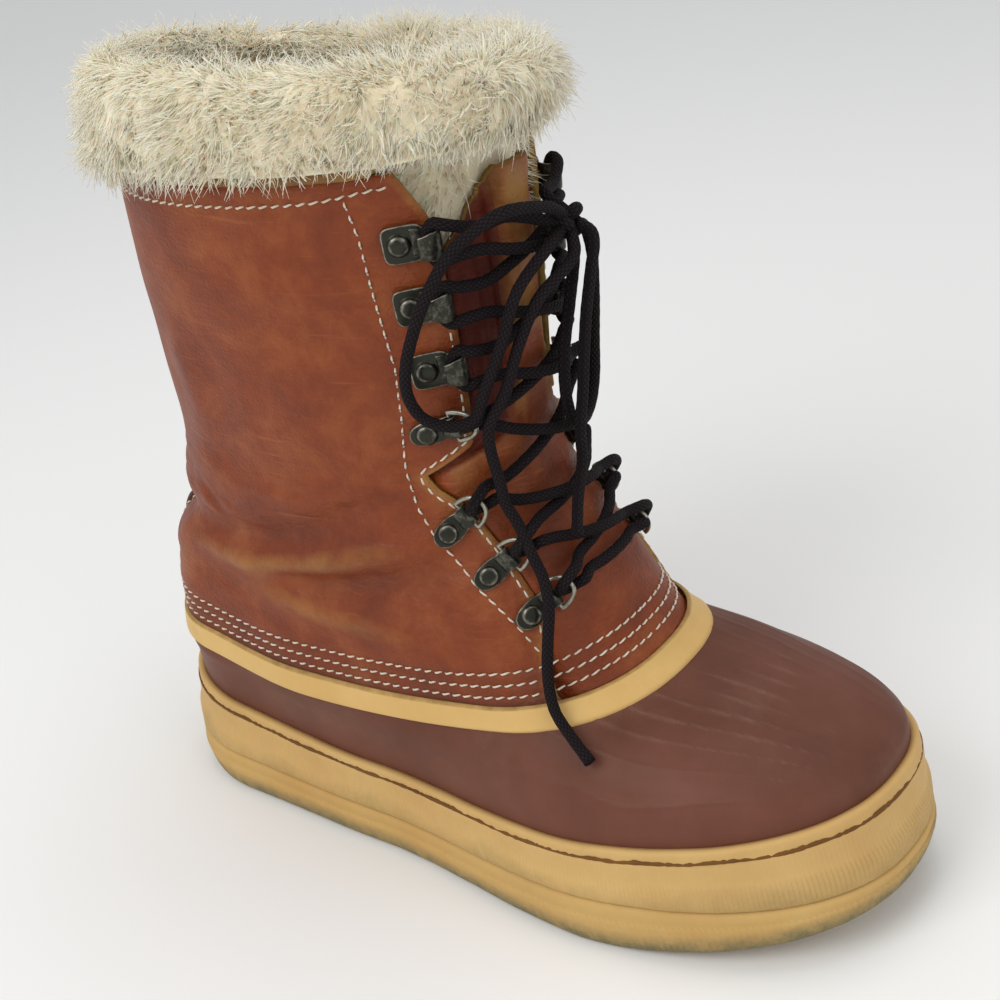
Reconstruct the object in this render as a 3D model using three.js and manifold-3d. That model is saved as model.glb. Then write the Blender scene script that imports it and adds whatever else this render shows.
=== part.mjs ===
// Pac boot, right foot: a leather shaft on a moulded rubber shoe, with a pile cuff above the collar.
// Millimetres. +X points to the toe, +Y to the wearer's left, +Z up; the sole stands on z = 0.

import * as THREE from 'three';
import { mergeVertices } from 'three/addons/utils/BufferGeometryUtils.js';
import Module from 'manifold-3d';

const wasm = await Module();
wasm.setup();

// Driving dimensions
const footLength = 316;
const ballWidth = 121;
const collarHeight = 266;
const toeSwing = 6;
const lateralFullness = 0.02;

const rubberWall = 2.6;
const leatherWall = 2.2;
const fitGap = 0.3;

const soleEdge = 5.4;
const soleLedge = 7.2;
const soleLedgeHeight = 0.62;
const toeSpring = 16;
const toeSpringStart = 68;
const toeSpringPower = 1.4;
const heelBevel = 1.5;
const heelBevelLength = 16;

const foxingTopLip = 2.6;
const foxingStep = 3.6;
const foxingFoot = 6.4;

const bandThickness = 2;
const backstayWidth = 22;
const backstayThickness = 1.6;
const bindingHeight = 3;
const bindingReach = 0.8;

const tongueThickness = 2.4;
const tongueCover = 6;
const tongueClearance = 0.8;
const tongueProud = 5;
const tongueWidest = 0.56;
const tongueTop = 262;
const tongueWingDrop = 18;

const turnsRound = 34;

const hookPlate = { long: 13.5, tall: 12.6, thick: 0.9, corner: 2.4 };
const hookReach = 11.8;
const hookHeight = 7.4;
const hookWidth = 9.4;
const clipPlate = { long: 15, tall: 8.8, thick: 1.5, corner: 3.6 };
const foldRadius = 1.7;
const sheetMetal = 1;
const seatGap = 0.55;
const rivetDiameter = 7.4;
const rivetHeight = 1.7;
const ringWire = 1.8;
const ringLong = 8.5;
const ringWide = 11;
const ringLift = 0.05;

const insoleThickness = 4;
const insoleClearance = 1.2;

const lugDepth = 3;
const lugGroove = 4;
const lugPitch = 15;
const lugRim = 9;

const laceDiameter = 4.2;

// Sections from sole to collar. back and front are the two ends of a slice: x as shares of the foot
// length from its middle, z as shares of the collar height. heel, waist and ball are half widths as
// shares of half the ball width. oval blends the foot's outline into the shaft's, nose is the share of
// the slice that rounds off in front, dip is how far the slice sags at mid length.
const sections = [
  { name: 'sole line', backX: -0.485, backZ: 0.079, frontX: 0.482, frontZ: 0.109, heel: 0.73, waist: 0.78, ball: 1.0, oval: 0, nose: 0.34, dip: 0.026 },
  { name: 'foxing top', backX: -0.485, backZ: 0.182, frontX: 0.479, frontZ: 0.213, heel: 0.73, waist: 0.78, ball: 1.0, oval: 0, nose: 0.34, dip: 0.061 },
  { name: 'toe cap', backX: -0.485, backZ: 0.211, frontX: 0.468, frontZ: 0.242, heel: 0.74, waist: 0.79, ball: 0.98, oval: 0, nose: 0.33, dip: 0.058 },
  { name: 'toe top', backX: -0.483, backZ: 0.236, frontX: 0.43, frontZ: 0.265, heel: 0.75, waist: 0.8, ball: 0.94, oval: 0, nose: 0.31, dip: 0.054 },
  { name: 'vamp', backX: -0.48, backZ: 0.254, frontX: 0.342, frontZ: 0.285, heel: 0.76, waist: 0.82, ball: 0.89, oval: 0, nose: 0.27, dip: 0.051 },
  { name: 'band foot', backX: -0.477, backZ: 0.267, frontX: 0.237, frontZ: 0.299, heel: 0.75, waist: 0.83, ball: 0.845, oval: 0.05, nose: 0.22, dip: 0.047 },
  { name: 'band top', backX: -0.475, backZ: 0.301, frontX: 0.206, frontZ: 0.32, heel: 0.73, waist: 0.81, ball: 0.825, oval: 0.1, nose: 0.22, dip: 0.036 },
  { name: 'heel bulge', backX: -0.476, backZ: 0.357, frontX: 0.184, frontZ: 0.361, heel: 0.71, waist: 0.79, ball: 0.805, oval: 0.2, nose: 0.22, dip: 0.024 },
  { name: 'instep', backX: -0.469, backZ: 0.41, frontX: 0.161, frontZ: 0.414, heel: 0.7, waist: 0.76, ball: 0.785, oval: 0.4, nose: 0.22, dip: 0.012 },
  { name: 'ankle crease', backX: -0.44, backZ: 0.458, frontX: 0.127, frontZ: 0.485, heel: 0.72, waist: 0.76, ball: 0.77, oval: 0.7, nose: 0.24, dip: 0.004 },
  { name: 'ankle', backX: -0.442, backZ: 0.508, frontX: 0.095, frontZ: 0.564, heel: 0.76, waist: 0.76, ball: 0.76, oval: 0.9, nose: 0.26, dip: 0 },
  { name: 'lower shaft', backX: -0.427, backZ: 0.59, frontX: 0.085, frontZ: 0.654, heel: 0.78, waist: 0.78, ball: 0.78, oval: 1, nose: 0.26, dip: 0 },
  { name: 'mid shaft', backX: -0.427, backZ: 0.7, frontX: 0.087, frontZ: 0.759, heel: 0.82, waist: 0.82, ball: 0.82, oval: 1, nose: 0.26, dip: 0 },
  { name: 'upper shaft', backX: -0.419, backZ: 0.835, frontX: 0.09, frontZ: 0.872, heel: 0.86, waist: 0.86, ball: 0.86, oval: 1, nose: 0.26, dip: 0 },
  { name: 'collar', backX: -0.412, backZ: 0.994, frontX: 0.098, frontZ: 1.009, heel: 0.9, waist: 0.9, ball: 0.9, oval: 1, nose: 0.26, dip: 0 },
];
const level = Object.fromEntries(sections.map((row, index) => [row.name, index]));

// Half the throat's opening, as shares of half the ball width, by height as shares of the collar height.
const throat = [
  { height: 0.325, half: 0.6 },
  { height: 0.36, half: 0.55 },
  { height: 0.42, half: 0.451 },
  { height: 0.5, half: 0.452 },
  { height: 0.555, half: 0.475 },
  { height: 0.59, half: 0.556 },
  { height: 0.614, half: 0.585 },
  { height: 0.63, half: 0.5 },
  { height: 0.645, half: 0.412 },
  { height: 0.7, half: 0.402 },
  { height: 0.84, half: 0.433 },
  { height: 0.945, half: 0.49 },
  { height: 1.03, half: 0.66 },
];

const colours = {
  leather: 0x93481f, rubber: 0x66443a, band: 0xd0a862, foxing: 0xbf9a5e, outsole: 0xa9875a,
  backstay: 0x7d3a1c, binding: 0xa5773f, tongue: 0x8a4322, fleece: 0xdcd5c2, insole: 0x8d8a83,
  hardware: 0x3b3b34, lace: 0x2b2023,
};

const smooth = (value) => {
  const x = Math.min(Math.max(value, 0), 1);
  return x * x * (3 - 2 * x);
};
const mix = (a, b, share) => a + (b - a) * share;

// A column of a table at a fractional row, through the rows as a smooth curve.
function column(table, key, at) {
  const last = table.length - 1;
  const i = Math.min(Math.max(Math.floor(at), 0), last - 1);
  const f = at - i;
  const [a, b] = [table[i][key], table[i + 1][key]];
  const slopeA = i > 0 ? (b - table[i - 1][key]) / 2 : b - a;
  const slopeB = i < last - 1 ? (table[i + 2][key] - a) / 2 : b - a;
  if (f > 1) return b + slopeB * (f - 1);
  const f2 = f * f;
  const f3 = f2 * f;
  return a * (2 * f3 - 3 * f2 + 1) + b * (3 * f2 - 2 * f3) + slopeA * (f3 - 2 * f2 + f) + slopeB * (f3 - f2);
}

// Straight lookup of a value by a rising key.
function lookup(table, key, at, value) {
  let i = 0;
  while (i < table.length - 2 && table[i + 1][key] < at) i += 1;
  const share = (at - table[i][key]) / (table[i + 1][key] - table[i][key]);
  return mix(table[i][value], table[i + 1][value], Math.min(Math.max(share, 0), 1));
}

// Outline of a foot-shaped slice: half width at share u of its length.
function footOutline(u, row) {
  const heelEnd = 0.15;
  const back = 1 - Math.max((heelEnd - u) / heelEnd, 0) ** 2.2;
  const front = 1 - Math.max((u - 1 + row.nose) / row.nose, 0) ** 2.3;
  const toWaist = smooth((u - 0.12) / 0.28);
  const toBall = smooth((u - 0.38) / 0.34);
  const body = row.heel + (row.waist - row.heel) * toWaist + (row.ball - row.waist) * toBall;
  return body * Math.max(back, 0) ** (1 / 2.2) * Math.max(front, 0) ** (1 / 2.3);
}

function ovalOutline(u, row) {
  return row.ball * Math.max(1 - Math.abs(2 * u - 1) ** 2.2, 0) ** (1 / 2.2);
}

// The boot's outer skin: t counts sections upward, turn goes round from the back (0) past the outer
// side to the front (pi) and back along the inner side.
function skin(t, turn) {
  const row = {};
  for (const key of Object.keys(sections[0])) if (key !== 'name') row[key] = column(sections, key, t);
  const u = (1 - Math.cos(turn)) / 2;
  const side = Math.sin(turn) >= 0 ? -1 : 1;
  const outline = (1 - row.oval) * footOutline(u, row) + row.oval * ovalOutline(u, row);
  const swing = toeSwing * smooth((u - 0.3) / 0.7) * (1 - Math.min(row.oval, 1));
  const fullness = 1 - side * lateralFullness * (1 - row.oval);
  return new THREE.Vector3(
    footLength * mix(row.backX, row.frontX, u),
    swing + side * outline * fullness * ballWidth / 2,
    collarHeight * (mix(row.backZ, row.frontZ, u) - row.dip * 4 * u * (1 - u)),
  );
}

function skinNormal(t, turn) {
  const step = 0.01;
  const along = skin(t, turn + step).sub(skin(t, turn - step));
  const up = skin(t + step, turn).sub(skin(t - step, turn));
  return along.cross(up).normalize();
}

function skinAt(t, turn, offset) {
  return skin(t, turn).addScaledVector(skinNormal(t, turn), offset);
}

// A point beside the sole line: edge is its level distance from the skin, lift its height over the line.
function besideSole(turn, edge, lift) {
  const out = skinNormal(0, turn).setZ(0).normalize();
  const p = skin(0, turn).addScaledVector(out, edge);
  p.z += lift;
  return p;
}

// The turn in front of mid length where the skin's side distance from its middle is halfWidth.
function turnAt(t, halfWidth) {
  let [low, high] = [Math.PI / 2, Math.PI];
  for (let i = 0; i < 24; i += 1) {
    const middle = (low + high) / 2;
    if (Math.abs(skin(t, middle).y) > halfWidth) low = middle;
    else high = middle;
  }
  return (low + high) / 2;
}

function levelAt(height, turn) {
  let [low, high] = [0, sections.length - 0.5];
  for (let i = 0; i < 24; i += 1) {
    const middle = (low + high) / 2;
    if (skin(middle, turn).z < height) low = middle;
    else high = middle;
  }
  return (low + high) / 2;
}

const range = (from, to, steps) => Array.from({ length: steps + 1 }, (_, i) => mix(from, to, i / steps));

function geometryFrom(points, faces) {
  const geometry = new THREE.BufferGeometry();
  geometry.setAttribute('position', new THREE.Float32BufferAttribute(points.flatMap((p) => [p.x, p.y, p.z]), 3));
  geometry.setIndex(faces);
  return geometry;
}

// A closed ring: profile(turn) gives the same number of points at every turn, going up on the outside
// and down on the inside.
function ringSolid(profile, turns) {
  const rows = Array.from({ length: turns }, (_, i) => profile((i / turns) * 2 * Math.PI));
  const count = rows[0].length;
  const faces = [];
  for (let i = 0; i < turns; i += 1) {
    for (let j = 0; j < count; j += 1) {
      const a = i * count + j;
      const b = ((i + 1) % turns) * count + j;
      const c = ((i + 1) % turns) * count + (j + 1) % count;
      const d = i * count + (j + 1) % count;
      faces.push(a, b, c, a, c, d);
    }
  }
  return geometryFrom(rows.flat(), faces);
}

// A closed curved plate from two grids of the same size, inner and outer, seen from outside with
// columns running forward and rows running up.
function plateSolid(outer, inner) {
  const rows = outer.length;
  const cols = outer[0].length;
  const size = rows * cols;
  const faces = [];
  const quad = (a, b, c, d) => faces.push(a, b, c, a, c, d);
  for (let r = 0; r < rows - 1; r += 1) {
    for (let c = 0; c < cols - 1; c += 1) {
      const a = r * cols + c;
      quad(a, a + 1, a + cols + 1, a + cols);
      quad(size + a, size + a + cols, size + a + cols + 1, size + a + 1);
    }
    const left = r * cols;
    const right = left + cols - 1;
    quad(left, left + cols, size + left + cols, size + left);
    quad(right, size + right, size + right + cols, right + cols);
  }
  for (let c = 0; c < cols - 1; c += 1) {
    const top = (rows - 1) * cols + c;
    quad(c, size + c, size + c + 1, c + 1);
    quad(top, top + 1, size + top + 1, size + top);
  }
  return geometryFrom([...outer.flat(), ...inner.flat()], faces);
}

// A solid filled between two sides: layers are closed outlines of the same even count, lowest first,
// each starting at the heel and going round by the outer side.
function stackSolid(layers) {
  const count = layers[0].length;
  const half = count / 2;
  const top = (layers.length - 1) * count;
  const faces = [];
  for (let k = 0; k < layers.length - 1; k += 1) {
    for (let i = 0; i < count; i += 1) {
      const a = k * count + i;
      const b = k * count + (i + 1) % count;
      faces.push(a, b, b + count, a, b + count, a + count);
    }
  }
  for (let i = 0; i < half; i += 1) {
    const [a, b] = [i, i + 1];
    const [c, d] = [count - i - 1, (count - i) % count];
    if (b !== c) faces.push(a, c, b, top + a, top + b, top + c);
    if (a !== d) faces.push(a, d, c, top + a, top + c, top + d);
  }
  return geometryFrom(layers.flat(), faces);
}

function solidOf(geometry) {
  let plain = geometry.clone();
  plain.deleteAttribute('normal');
  plain.deleteAttribute('uv');
  plain = mergeVertices(plain, 1e-3);
  return new wasm.Manifold(new wasm.Mesh({
    numProp: 3,
    vertProperties: new Float32Array(plain.attributes.position.array),
    triVerts: new Uint32Array(plain.index.array),
  }));
}

function geometryOf(solid) {
  const mesh = solid.getMesh();
  const geometry = new THREE.BufferGeometry();
  geometry.setAttribute('position', new THREE.BufferAttribute(new Float32Array(mesh.vertProperties), 3));
  geometry.setIndex(new THREE.BufferAttribute(new Uint32Array(mesh.triVerts), 1));
  return geometry;
}

const joined = (solids) => solids.reduce((sum, next) => sum.add(next));

const boot = new THREE.Group();

function addPiece(name, geometry, colour, roughness, metalness = 0) {
  geometry.deleteAttribute('uv');
  const material = new THREE.MeshStandardMaterial({ color: colour, roughness, metalness });
  const mesh = new THREE.Mesh(geometry, material);
  mesh.name = name;
  boot.add(mesh);
  return mesh;
}

// Outsole
function soleFloor(x) {
  const spring = Math.max((x - toeSpringStart) / (footLength / 2 - toeSpringStart), 0) ** toeSpringPower;
  const bevel = smooth((-x - footLength / 2 + heelBevelLength) / heelBevelLength);
  return toeSpring * spring + heelBevel * bevel;
}

function outsoleLayer(edge, share) {
  return Array.from({ length: turnsRound }, (_, i) => {
    const p = besideSole((i / turnsRound) * 2 * Math.PI, edge, -fitGap);
    p.z = mix(soleFloor(p.x), p.z, share);
    return p;
  });
}

function lugGrooves() {
  const grooves = [];
  for (let x = -footLength * 0.44; x < footLength * 0.42; x += lugPitch) {
    const u = x / footLength + 0.5;
    const half = footOutline(u, sections[0]) * ballWidth / 2 + soleEdge - lugRim;
    const middle = toeSwing * smooth((u - 0.3) / 0.7);
    const floor = Math.max(soleFloor(x), soleFloor(x + lugGroove));
    const groove = new THREE.BoxGeometry(lugGroove, half * 2, 2 * lugDepth);
    groove.translate(x, middle, floor);
    grooves.push(solidOf(groove));
  }
  return joined(grooves);
}

function archHollow() {
  const hollow = new THREE.CylinderGeometry(footLength * 0.11, footLength * 0.11, ballWidth * 0.34, 24);
  hollow.translate(-footLength * 0.09, 0, -footLength * 0.099);
  return solidOf(hollow);
}

function outsole() {
  const layers = [
    outsoleLayer(soleEdge - 1.6, 0),
    outsoleLayer(soleEdge, 0.14),
    outsoleLayer(soleLedge, soleLedgeHeight),
    outsoleLayer(soleLedge - 0.8, 1),
  ];
  return geometryOf(solidOf(stackSolid(layers)).subtract(lugGrooves()).subtract(archHollow()));
}
addPiece('outsole', outsole(), colours.outsole, 0.85);

// Foxing: the pale strip round the shell, standing on the outsole's edge
function foxing() {
  const profile = (turn) => [
    besideSole(turn, foxingFoot, 0),
    skinAt(0.3, turn, foxingFoot - 0.4),
    skinAt(0.36, turn, foxingStep + 0.8),
    skinAt(0.78, turn, foxingStep),
    skinAt(0.82, turn, foxingTopLip + 0.3),
    skinAt(1, turn, foxingTopLip),
    skinAt(1, turn, fitGap),
    skinAt(0.5, turn, fitGap),
    besideSole(turn, fitGap, 0),
  ];
  return ringSolid(profile, turnsRound);
}
addPiece('foxing', foxing(), colours.foxing, 0.8);

// Rubber shell: heel counter, sides and vamp in one moulding, open underneath and at the ankle
const shellTop = (level['band foot'] + level['band top']) / 2;
function rubberShell() {
  const levels = [1, 1.5, 2, 2.5, 3, 4, 5, shellTop];
  const profile = (turn) => [
    besideSole(turn, 0, 0),
    ...levels.map((t) => skinAt(t, turn, 0)),
    ...[...levels].reverse().map((t) => skinAt(t, turn, -rubberWall)),
    besideSole(turn, -rubberWall, 0),
  ];
  return ringSolid(profile, turnsRound);
}
addPiece('rubber_shell', rubberShell(), colours.rubber, 0.7);

// Pale band round the shell's upper edge
function topBand() {
  const [low, high] = [level['band foot'], level['band top']];
  const profile = (turn) => [
    skinAt(low, turn, fitGap),
    skinAt(mix(low, high, 0.12), turn, fitGap + bandThickness),
    skinAt(mix(low, high, 0.88), turn, fitGap + bandThickness),
    skinAt(high, turn, fitGap),
  ];
  return ringSolid(profile, turnsRound);
}
addPiece('top_band', topBand(), colours.band, 0.6);

// Leather upper with its throat and ankle notches
function throatHalf(height) {
  return lookup(throat, 'height', height / collarHeight, 'half') * ballWidth / 2;
}

// How far the throat's cutter runs past the leather, inside and outside
const throatCutInside = 3;
const throatCutOutside = 4;

function throatCutter() {
  const inside = -leatherWall - throatCutInside;
  const outside = throatCutOutside;
  const heights = throat.map((row) => row.height * collarHeight);
  const rows = [];
  for (let i = 0; i < heights.length - 1; i += 1) rows.push(heights[i], (heights[i] + heights[i + 1]) / 2);
  rows.push(heights[heights.length - 1]);
  const grid = (offset) => rows.map((height) => {
    const t = levelAt(height, Math.PI);
    const edge = turnAt(t, throatHalf(height));
    return range(edge, 2 * Math.PI - edge, 8).map((turn) => skinAt(t, turn, offset));
  });
  return solidOf(plateSolid(grid(outside), grid(inside)));
}

const leatherFoot = shellTop + 0.04;
const leatherLevels = [leatherFoot, 6.05, 7, 7.5, 8, 8.5, 9, 9.5, 10, 11, 12, 13, 14];
function leatherUpper() {
  const profile = (turn) => [
    ...leatherLevels.map((t) => skinAt(t, turn, 0)),
    ...[...leatherLevels].reverse().map((t) => skinAt(t, turn, -leatherWall)),
  ];
  return geometryOf(solidOf(ringSolid(profile, turnsRound)).subtract(throatCutter()));
}
addPiece('leather_upper', leatherUpper(), colours.leather, 0.5);

// Backstay: the strip up the back seam
function backstay() {
  const reach = Math.PI - turnAt(level.collar, backstayWidth / 2);
  const grid = (offset) => leatherLevels.slice(1).map((t) => (
    range(-reach, reach, 4).map((turn) => skinAt(t, turn, offset))
  ));
  return plateSolid(grid(fitGap + backstayThickness), grid(fitGap));
}
addPiece('backstay', backstay(), colours.backstay, 0.55);

// Binding rolled over the collar's edge, from one throat corner round the back to the other; it stops short of the corner
const bindingSetBack = 3;

function collarBinding() {
  const top = level.collar;
  const corner = turnAt(top, throatHalf(collarHeight * 1.01) + bindingSetBack);
  const lift = 1 / (skin(top, 0).z - skin(top - 1, 0).z);
  const grid = (offset) => [fitGap, bindingHeight * 0.6, bindingHeight].map((height, k) => {
    const inset = k === 2 ? 0.8 * Math.sign(offset + leatherWall / 2) : 0;
    return range(-corner, corner, 22).map((turn) => skinAt(top + height * lift, turn, offset - inset));
  });
  return plateSolid(grid(bindingReach), grid(-leatherWall - bindingReach));
}
addPiece('collar_binding', collarBinding(), colours.binding, 0.6);

// Tongue: lies under the throat's edges, its middle strip standing proud
function tongue() {
  const under = -leatherWall - tongueClearance;
  const heights = [0.315, 0.345, 0.37, 0.41, 0.45, 0.49, 0.53, 0.57, 0.61, 0.65, 0.7, 0.76, 0.82, 0.9, 1];
  const across = [-1, -0.85, -0.55, -0.3, 0, 0.3, 0.55, 0.85, 1];
  const grid = (offset) => heights.map((share) => across.map((place) => {
    const strip = smooth((0.62 - Math.abs(place)) / 0.3);
    const top = tongueTop - tongueWingDrop * (1 - strip);
    const height = mix(heights[0] * collarHeight, top, (share - heights[0]) / (1 - heights[0]));
    const t = levelAt(height, Math.PI);
    const half = (Math.min(throatHalf(height), tongueWidest * ballWidth / 2) + tongueCover) * Math.abs(place);
    const turn = turnAt(t, half);
    const proud = tongueProud * strip * smooth((share - 0.34) / 0.45);
    return skinAt(t, place < 0 ? turn : 2 * Math.PI - turn, under + proud + offset);
  }));
  return plateSolid(grid(0), grid(-tongueThickness));
}
addPiece('tongue', tongue(), colours.tongue, 0.6);

// Insole on the outsole's top, inside the shell
function insole() {
  const inset = rubberWall + insoleClearance;
  const layer = (lift) => Array.from({ length: turnsRound }, (_, i) => (
    besideSole((i / turnsRound) * 2 * Math.PI, -inset, lift)
  ));
  return stackSolid([layer(0), layer(insoleThickness)]);
}
addPiece('insole', insole(), colours.insole, 0.95);

// Pile cuff of the liner: a thick roll above the collar with a skirt inside it, and locks of pile.
// out and up are millimetres from the skin and the collar line, going up outside and down inside.
const cuffSection = [
  { out: -3.6, up: -36 }, { out: -3.6, up: 0 }, { out: -3.6, up: 4.4 }, { out: 3, up: 4.8 }, { out: 9, up: 3.6 },
  { out: 12.5, up: 11 }, { out: 12.5, up: 23 }, { out: 8, up: 33 }, { out: 0, up: 38 },
  { out: -9, up: 37 }, { out: -16, up: 28 }, { out: -17, up: 10 }, { out: -13, up: -12 },
  { out: -9, up: -36 },
];
const cuffFrontInset = 3.2;
const cuffTurns = 28;
const cuffRise = [
  { turn: 0, share: 1.12 }, { turn: 1.3, share: 0.95 }, { turn: 2.4, share: 0.85 }, { turn: 3.14, share: 0.72 },
  { turn: 4, share: 0.62 }, { turn: 5, share: 0.66 }, { turn: 5.8, share: 0.95 }, { turn: 6.284, share: 1.12 },
];
const lockLength = 13;
const lockWidth = 13;

function cuffPoint(row, turn) {
  const top = level.collar;
  const front = smooth((Math.abs(Math.sin(turn / 2)) - 0.9) / 0.06);
  const inside = row.up < 5 && row.out < 0 ? cuffFrontInset * front : 0;
  const below = Math.min(row.up, 0) / (skin(top, turn).z - skin(top - 1, turn).z);
  const out = skinNormal(top + below, turn).setZ(0).normalize();
  const p = skin(top + below, turn).addScaledVector(out, row.out - inside);
  const share = lookup(cuffRise, 'turn', turn, 'share');
  p.z += row.up > 5 ? mix(5, row.up, share) : Math.max(row.up, 0);
  return p;
}

function lock(turn, place) {
  const i = Math.floor(place);
  const [a, b] = [cuffPoint(cuffSection[i], turn), cuffPoint(cuffSection[i + 1], turn)];
  const root = a.clone().lerp(b, place - i);
  const along = cuffPoint(cuffSection[i], turn + 0.02).sub(a).normalize();
  const out = along.clone().cross(b.clone().sub(a)).normalize();
  const wave = Math.sin(turn * 17 + place * 29);
  const lean = new THREE.Vector3(0, 0, -0.35).addScaledVector(along, 0.4 * wave);
  const tip = out.clone().add(lean).normalize();
  const cone = new THREE.ConeGeometry(lockWidth / 2, lockLength * (0.8 + 0.25 * wave), 4);
  cone.translate(0, lockLength / 2 - 3, 0);
  cone.applyQuaternion(new THREE.Quaternion().setFromUnitVectors(new THREE.Vector3(0, 1, 0), tip));
  cone.translate(root.x, root.y, root.z);
  return solidOf(cone);
}

function fleeceCuff() {
  const roll = solidOf(ringSolid((turn) => cuffSection.map((row) => cuffPoint(row, turn)), cuffTurns));
  const locks = [];
  [[5.3, 13], [6.3, 13], [7.4, 12], [8.6, 8]].forEach(([place, count], band) => {
    for (let i = 0; i < count; i += 1) locks.push(lock(((i + band * 0.37) / count) * 2 * Math.PI, place));
  });
  return geometryOf(joined([roll, ...locks]));
}
addPiece('fleece_cuff', fleeceCuff(), colours.fleece, 1);

// Lacing hardware. Rows run from the top; height is a share of the collar height, behind is how far
// the rivet lies behind the throat's edge and tilt turns the piece up from level, in degrees.
const lacing = [
  { kind: 'hook', height: 0.924, behind: 10.0, tilt: 0 },
  { kind: 'hook', height: 0.845, behind: 11.5, tilt: 0 },
  { kind: 'hook', height: 0.76, behind: 10.5, tilt: 0 },
  { kind: 'ring', height: 0.677, behind: 13.0, tilt: 8 },
  { kind: 'ring', height: 0.537, behind: 10.4, tilt: 36 },
  { kind: 'ring', height: 0.477, behind: 7.9, tilt: 33 },
  { kind: 'ring', height: 0.422, behind: 3.4, tilt: 30 },
];

// Where a row's rivet sits: side is -1 on the outer side and 1 on the inner side.
function seat(row) {
  const height = row.height * collarHeight;
  const t = levelAt(height, Math.PI);
  const edge = turnAt(t, throatHalf(height));
  const speed = skin(t, edge).distanceTo(skin(t, edge - 0.02)) / 0.02;
  return { t, turn: edge - row.behind / speed };
}

// Local axes at a row's rivet: x toward the throat, y up, z out of the leather. They mirror the piece on
// the inner side, so its faces are turned round there.
function seatMatrix(row, side) {
  const { t, turn: outer } = seat(row);
  const turn = side < 0 ? outer : 2 * Math.PI - outer;
  const out = skinNormal(t, turn);
  const forward = skin(t, turn - side * 0.02).sub(skin(t, turn)).normalize();
  const up = (side < 0 ? out.clone().cross(forward) : forward.clone().cross(out)).normalize();
  const tilt = THREE.MathUtils.degToRad(row.tilt);
  const x = forward.clone().multiplyScalar(Math.cos(tilt)).addScaledVector(up, Math.sin(tilt));
  const y = up.multiplyScalar(Math.cos(tilt)).addScaledVector(forward, -Math.sin(tilt));
  const matrix = new THREE.Matrix4().makeBasis(x, y, out);
  return matrix.setPosition(skinAt(t, turn, seatGap));
}

function roundedPlate(long, tall, corner, thick) {
  const shape = new THREE.Shape();
  const [x, y] = [long / 2, tall / 2];
  shape.moveTo(-x + corner, -y);
  for (const [cx, cy, start] of [[x, -y, -1], [x, y, 0], [-x, y, 1], [-x, -y, 2]]) {
    const centre = [cx - Math.sign(cx) * corner, cy - Math.sign(cy) * corner];
    shape.absarc(centre[0], centre[1], corner, start * Math.PI / 2, (start + 1) * Math.PI / 2, false);
  }
  return new THREE.ExtrudeGeometry(shape, { depth: thick, bevelEnabled: false, curveSegments: 1 });
}

function rivet(top) {
  const dome = new THREE.CylinderGeometry(rivetDiameter * 0.3, rivetDiameter / 2, rivetHeight, 8);
  dome.rotateX(Math.PI / 2);
  dome.translate(-1.5, 0, top + rivetHeight / 2 - 0.2);
  return solidOf(dome);
}

// The hook's strip in the plane across the throat, bent up from the plate and back over it
function hookStrip() {
  const line = [
    [4, 0.5], [hookReach * 0.72, 0.6], [hookReach * 0.93, hookHeight * 0.28], [hookReach, hookHeight * 0.6],
    [hookReach * 0.9, hookHeight * 0.88], [hookReach * 0.68, hookHeight],
  ].map(([x, y]) => new THREE.Vector2(x, y));
  const side = (shift) => line.map((p, i) => {
    const along = line[Math.min(i + 1, line.length - 1)].clone().sub(line[Math.max(i - 1, 0)]).normalize();
    return new THREE.Vector2(p.x + along.y * shift, p.y - along.x * shift);
  });
  const shape = new THREE.Shape([...side(sheetMetal / 2), ...side(-sheetMetal / 2).reverse()]);
  const strip = new THREE.ExtrudeGeometry(shape, { depth: hookWidth, bevelEnabled: false });
  strip.translate(0, 0, -hookWidth / 2);
  strip.rotateX(Math.PI / 2);
  return solidOf(strip);
}

function speedHook() {
  const { long, tall, thick, corner } = hookPlate;
  return joined([solidOf(roundedPlate(long, tall, corner, thick)), rivet(thick), hookStrip()]);
}

// The ring: a straight bar held in the clip's fold and a round bow toward the throat
function dRing(foldX, foldZ) {
  const rise = Math.atan(ringLift);
  const [ex, ez] = [Math.cos(rise), Math.sin(rise)];
  const profile = (turn) => {
    const bow = Math.cos(turn) > 0 ? ringLong * Math.cos(turn) : 0;
    const across = (ringWide / 2) * Math.sign(Math.sin(turn)) * Math.abs(Math.sin(turn)) ** 0.75;
    const outX = Math.cos(turn) > 0 ? Math.cos(turn) : -0.6;
    const outY = Math.sin(turn);
    return range(0, 3, 3).map((k) => {
      const angle = (k / 4) * 2 * Math.PI;
      const out = (ringWire / 2) * Math.cos(angle);
      const off = (ringWire / 2) * Math.sin(angle);
      const x = bow + out * outX;
      return new THREE.Vector3(foldX + x * ex - off * ez, across + out * outY, foldZ + x * ez + off * ex);
    });
  };
  return solidOf(ringSolid(profile, 10));
}

function ringClip() {
  const { long, tall, thick, corner } = clipPlate;
  const foldX = long / 2 + 0.6;
  const fold = new THREE.CylinderGeometry(foldRadius, foldRadius, tall * 0.86, 8);
  fold.translate(foldX, 0, foldRadius + 0.1);
  const ring = dRing(foldX, foldRadius + 0.1);
  return joined([solidOf(roundedPlate(long, tall, corner, thick)), rivet(thick), solidOf(fold), ring]);
}

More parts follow.
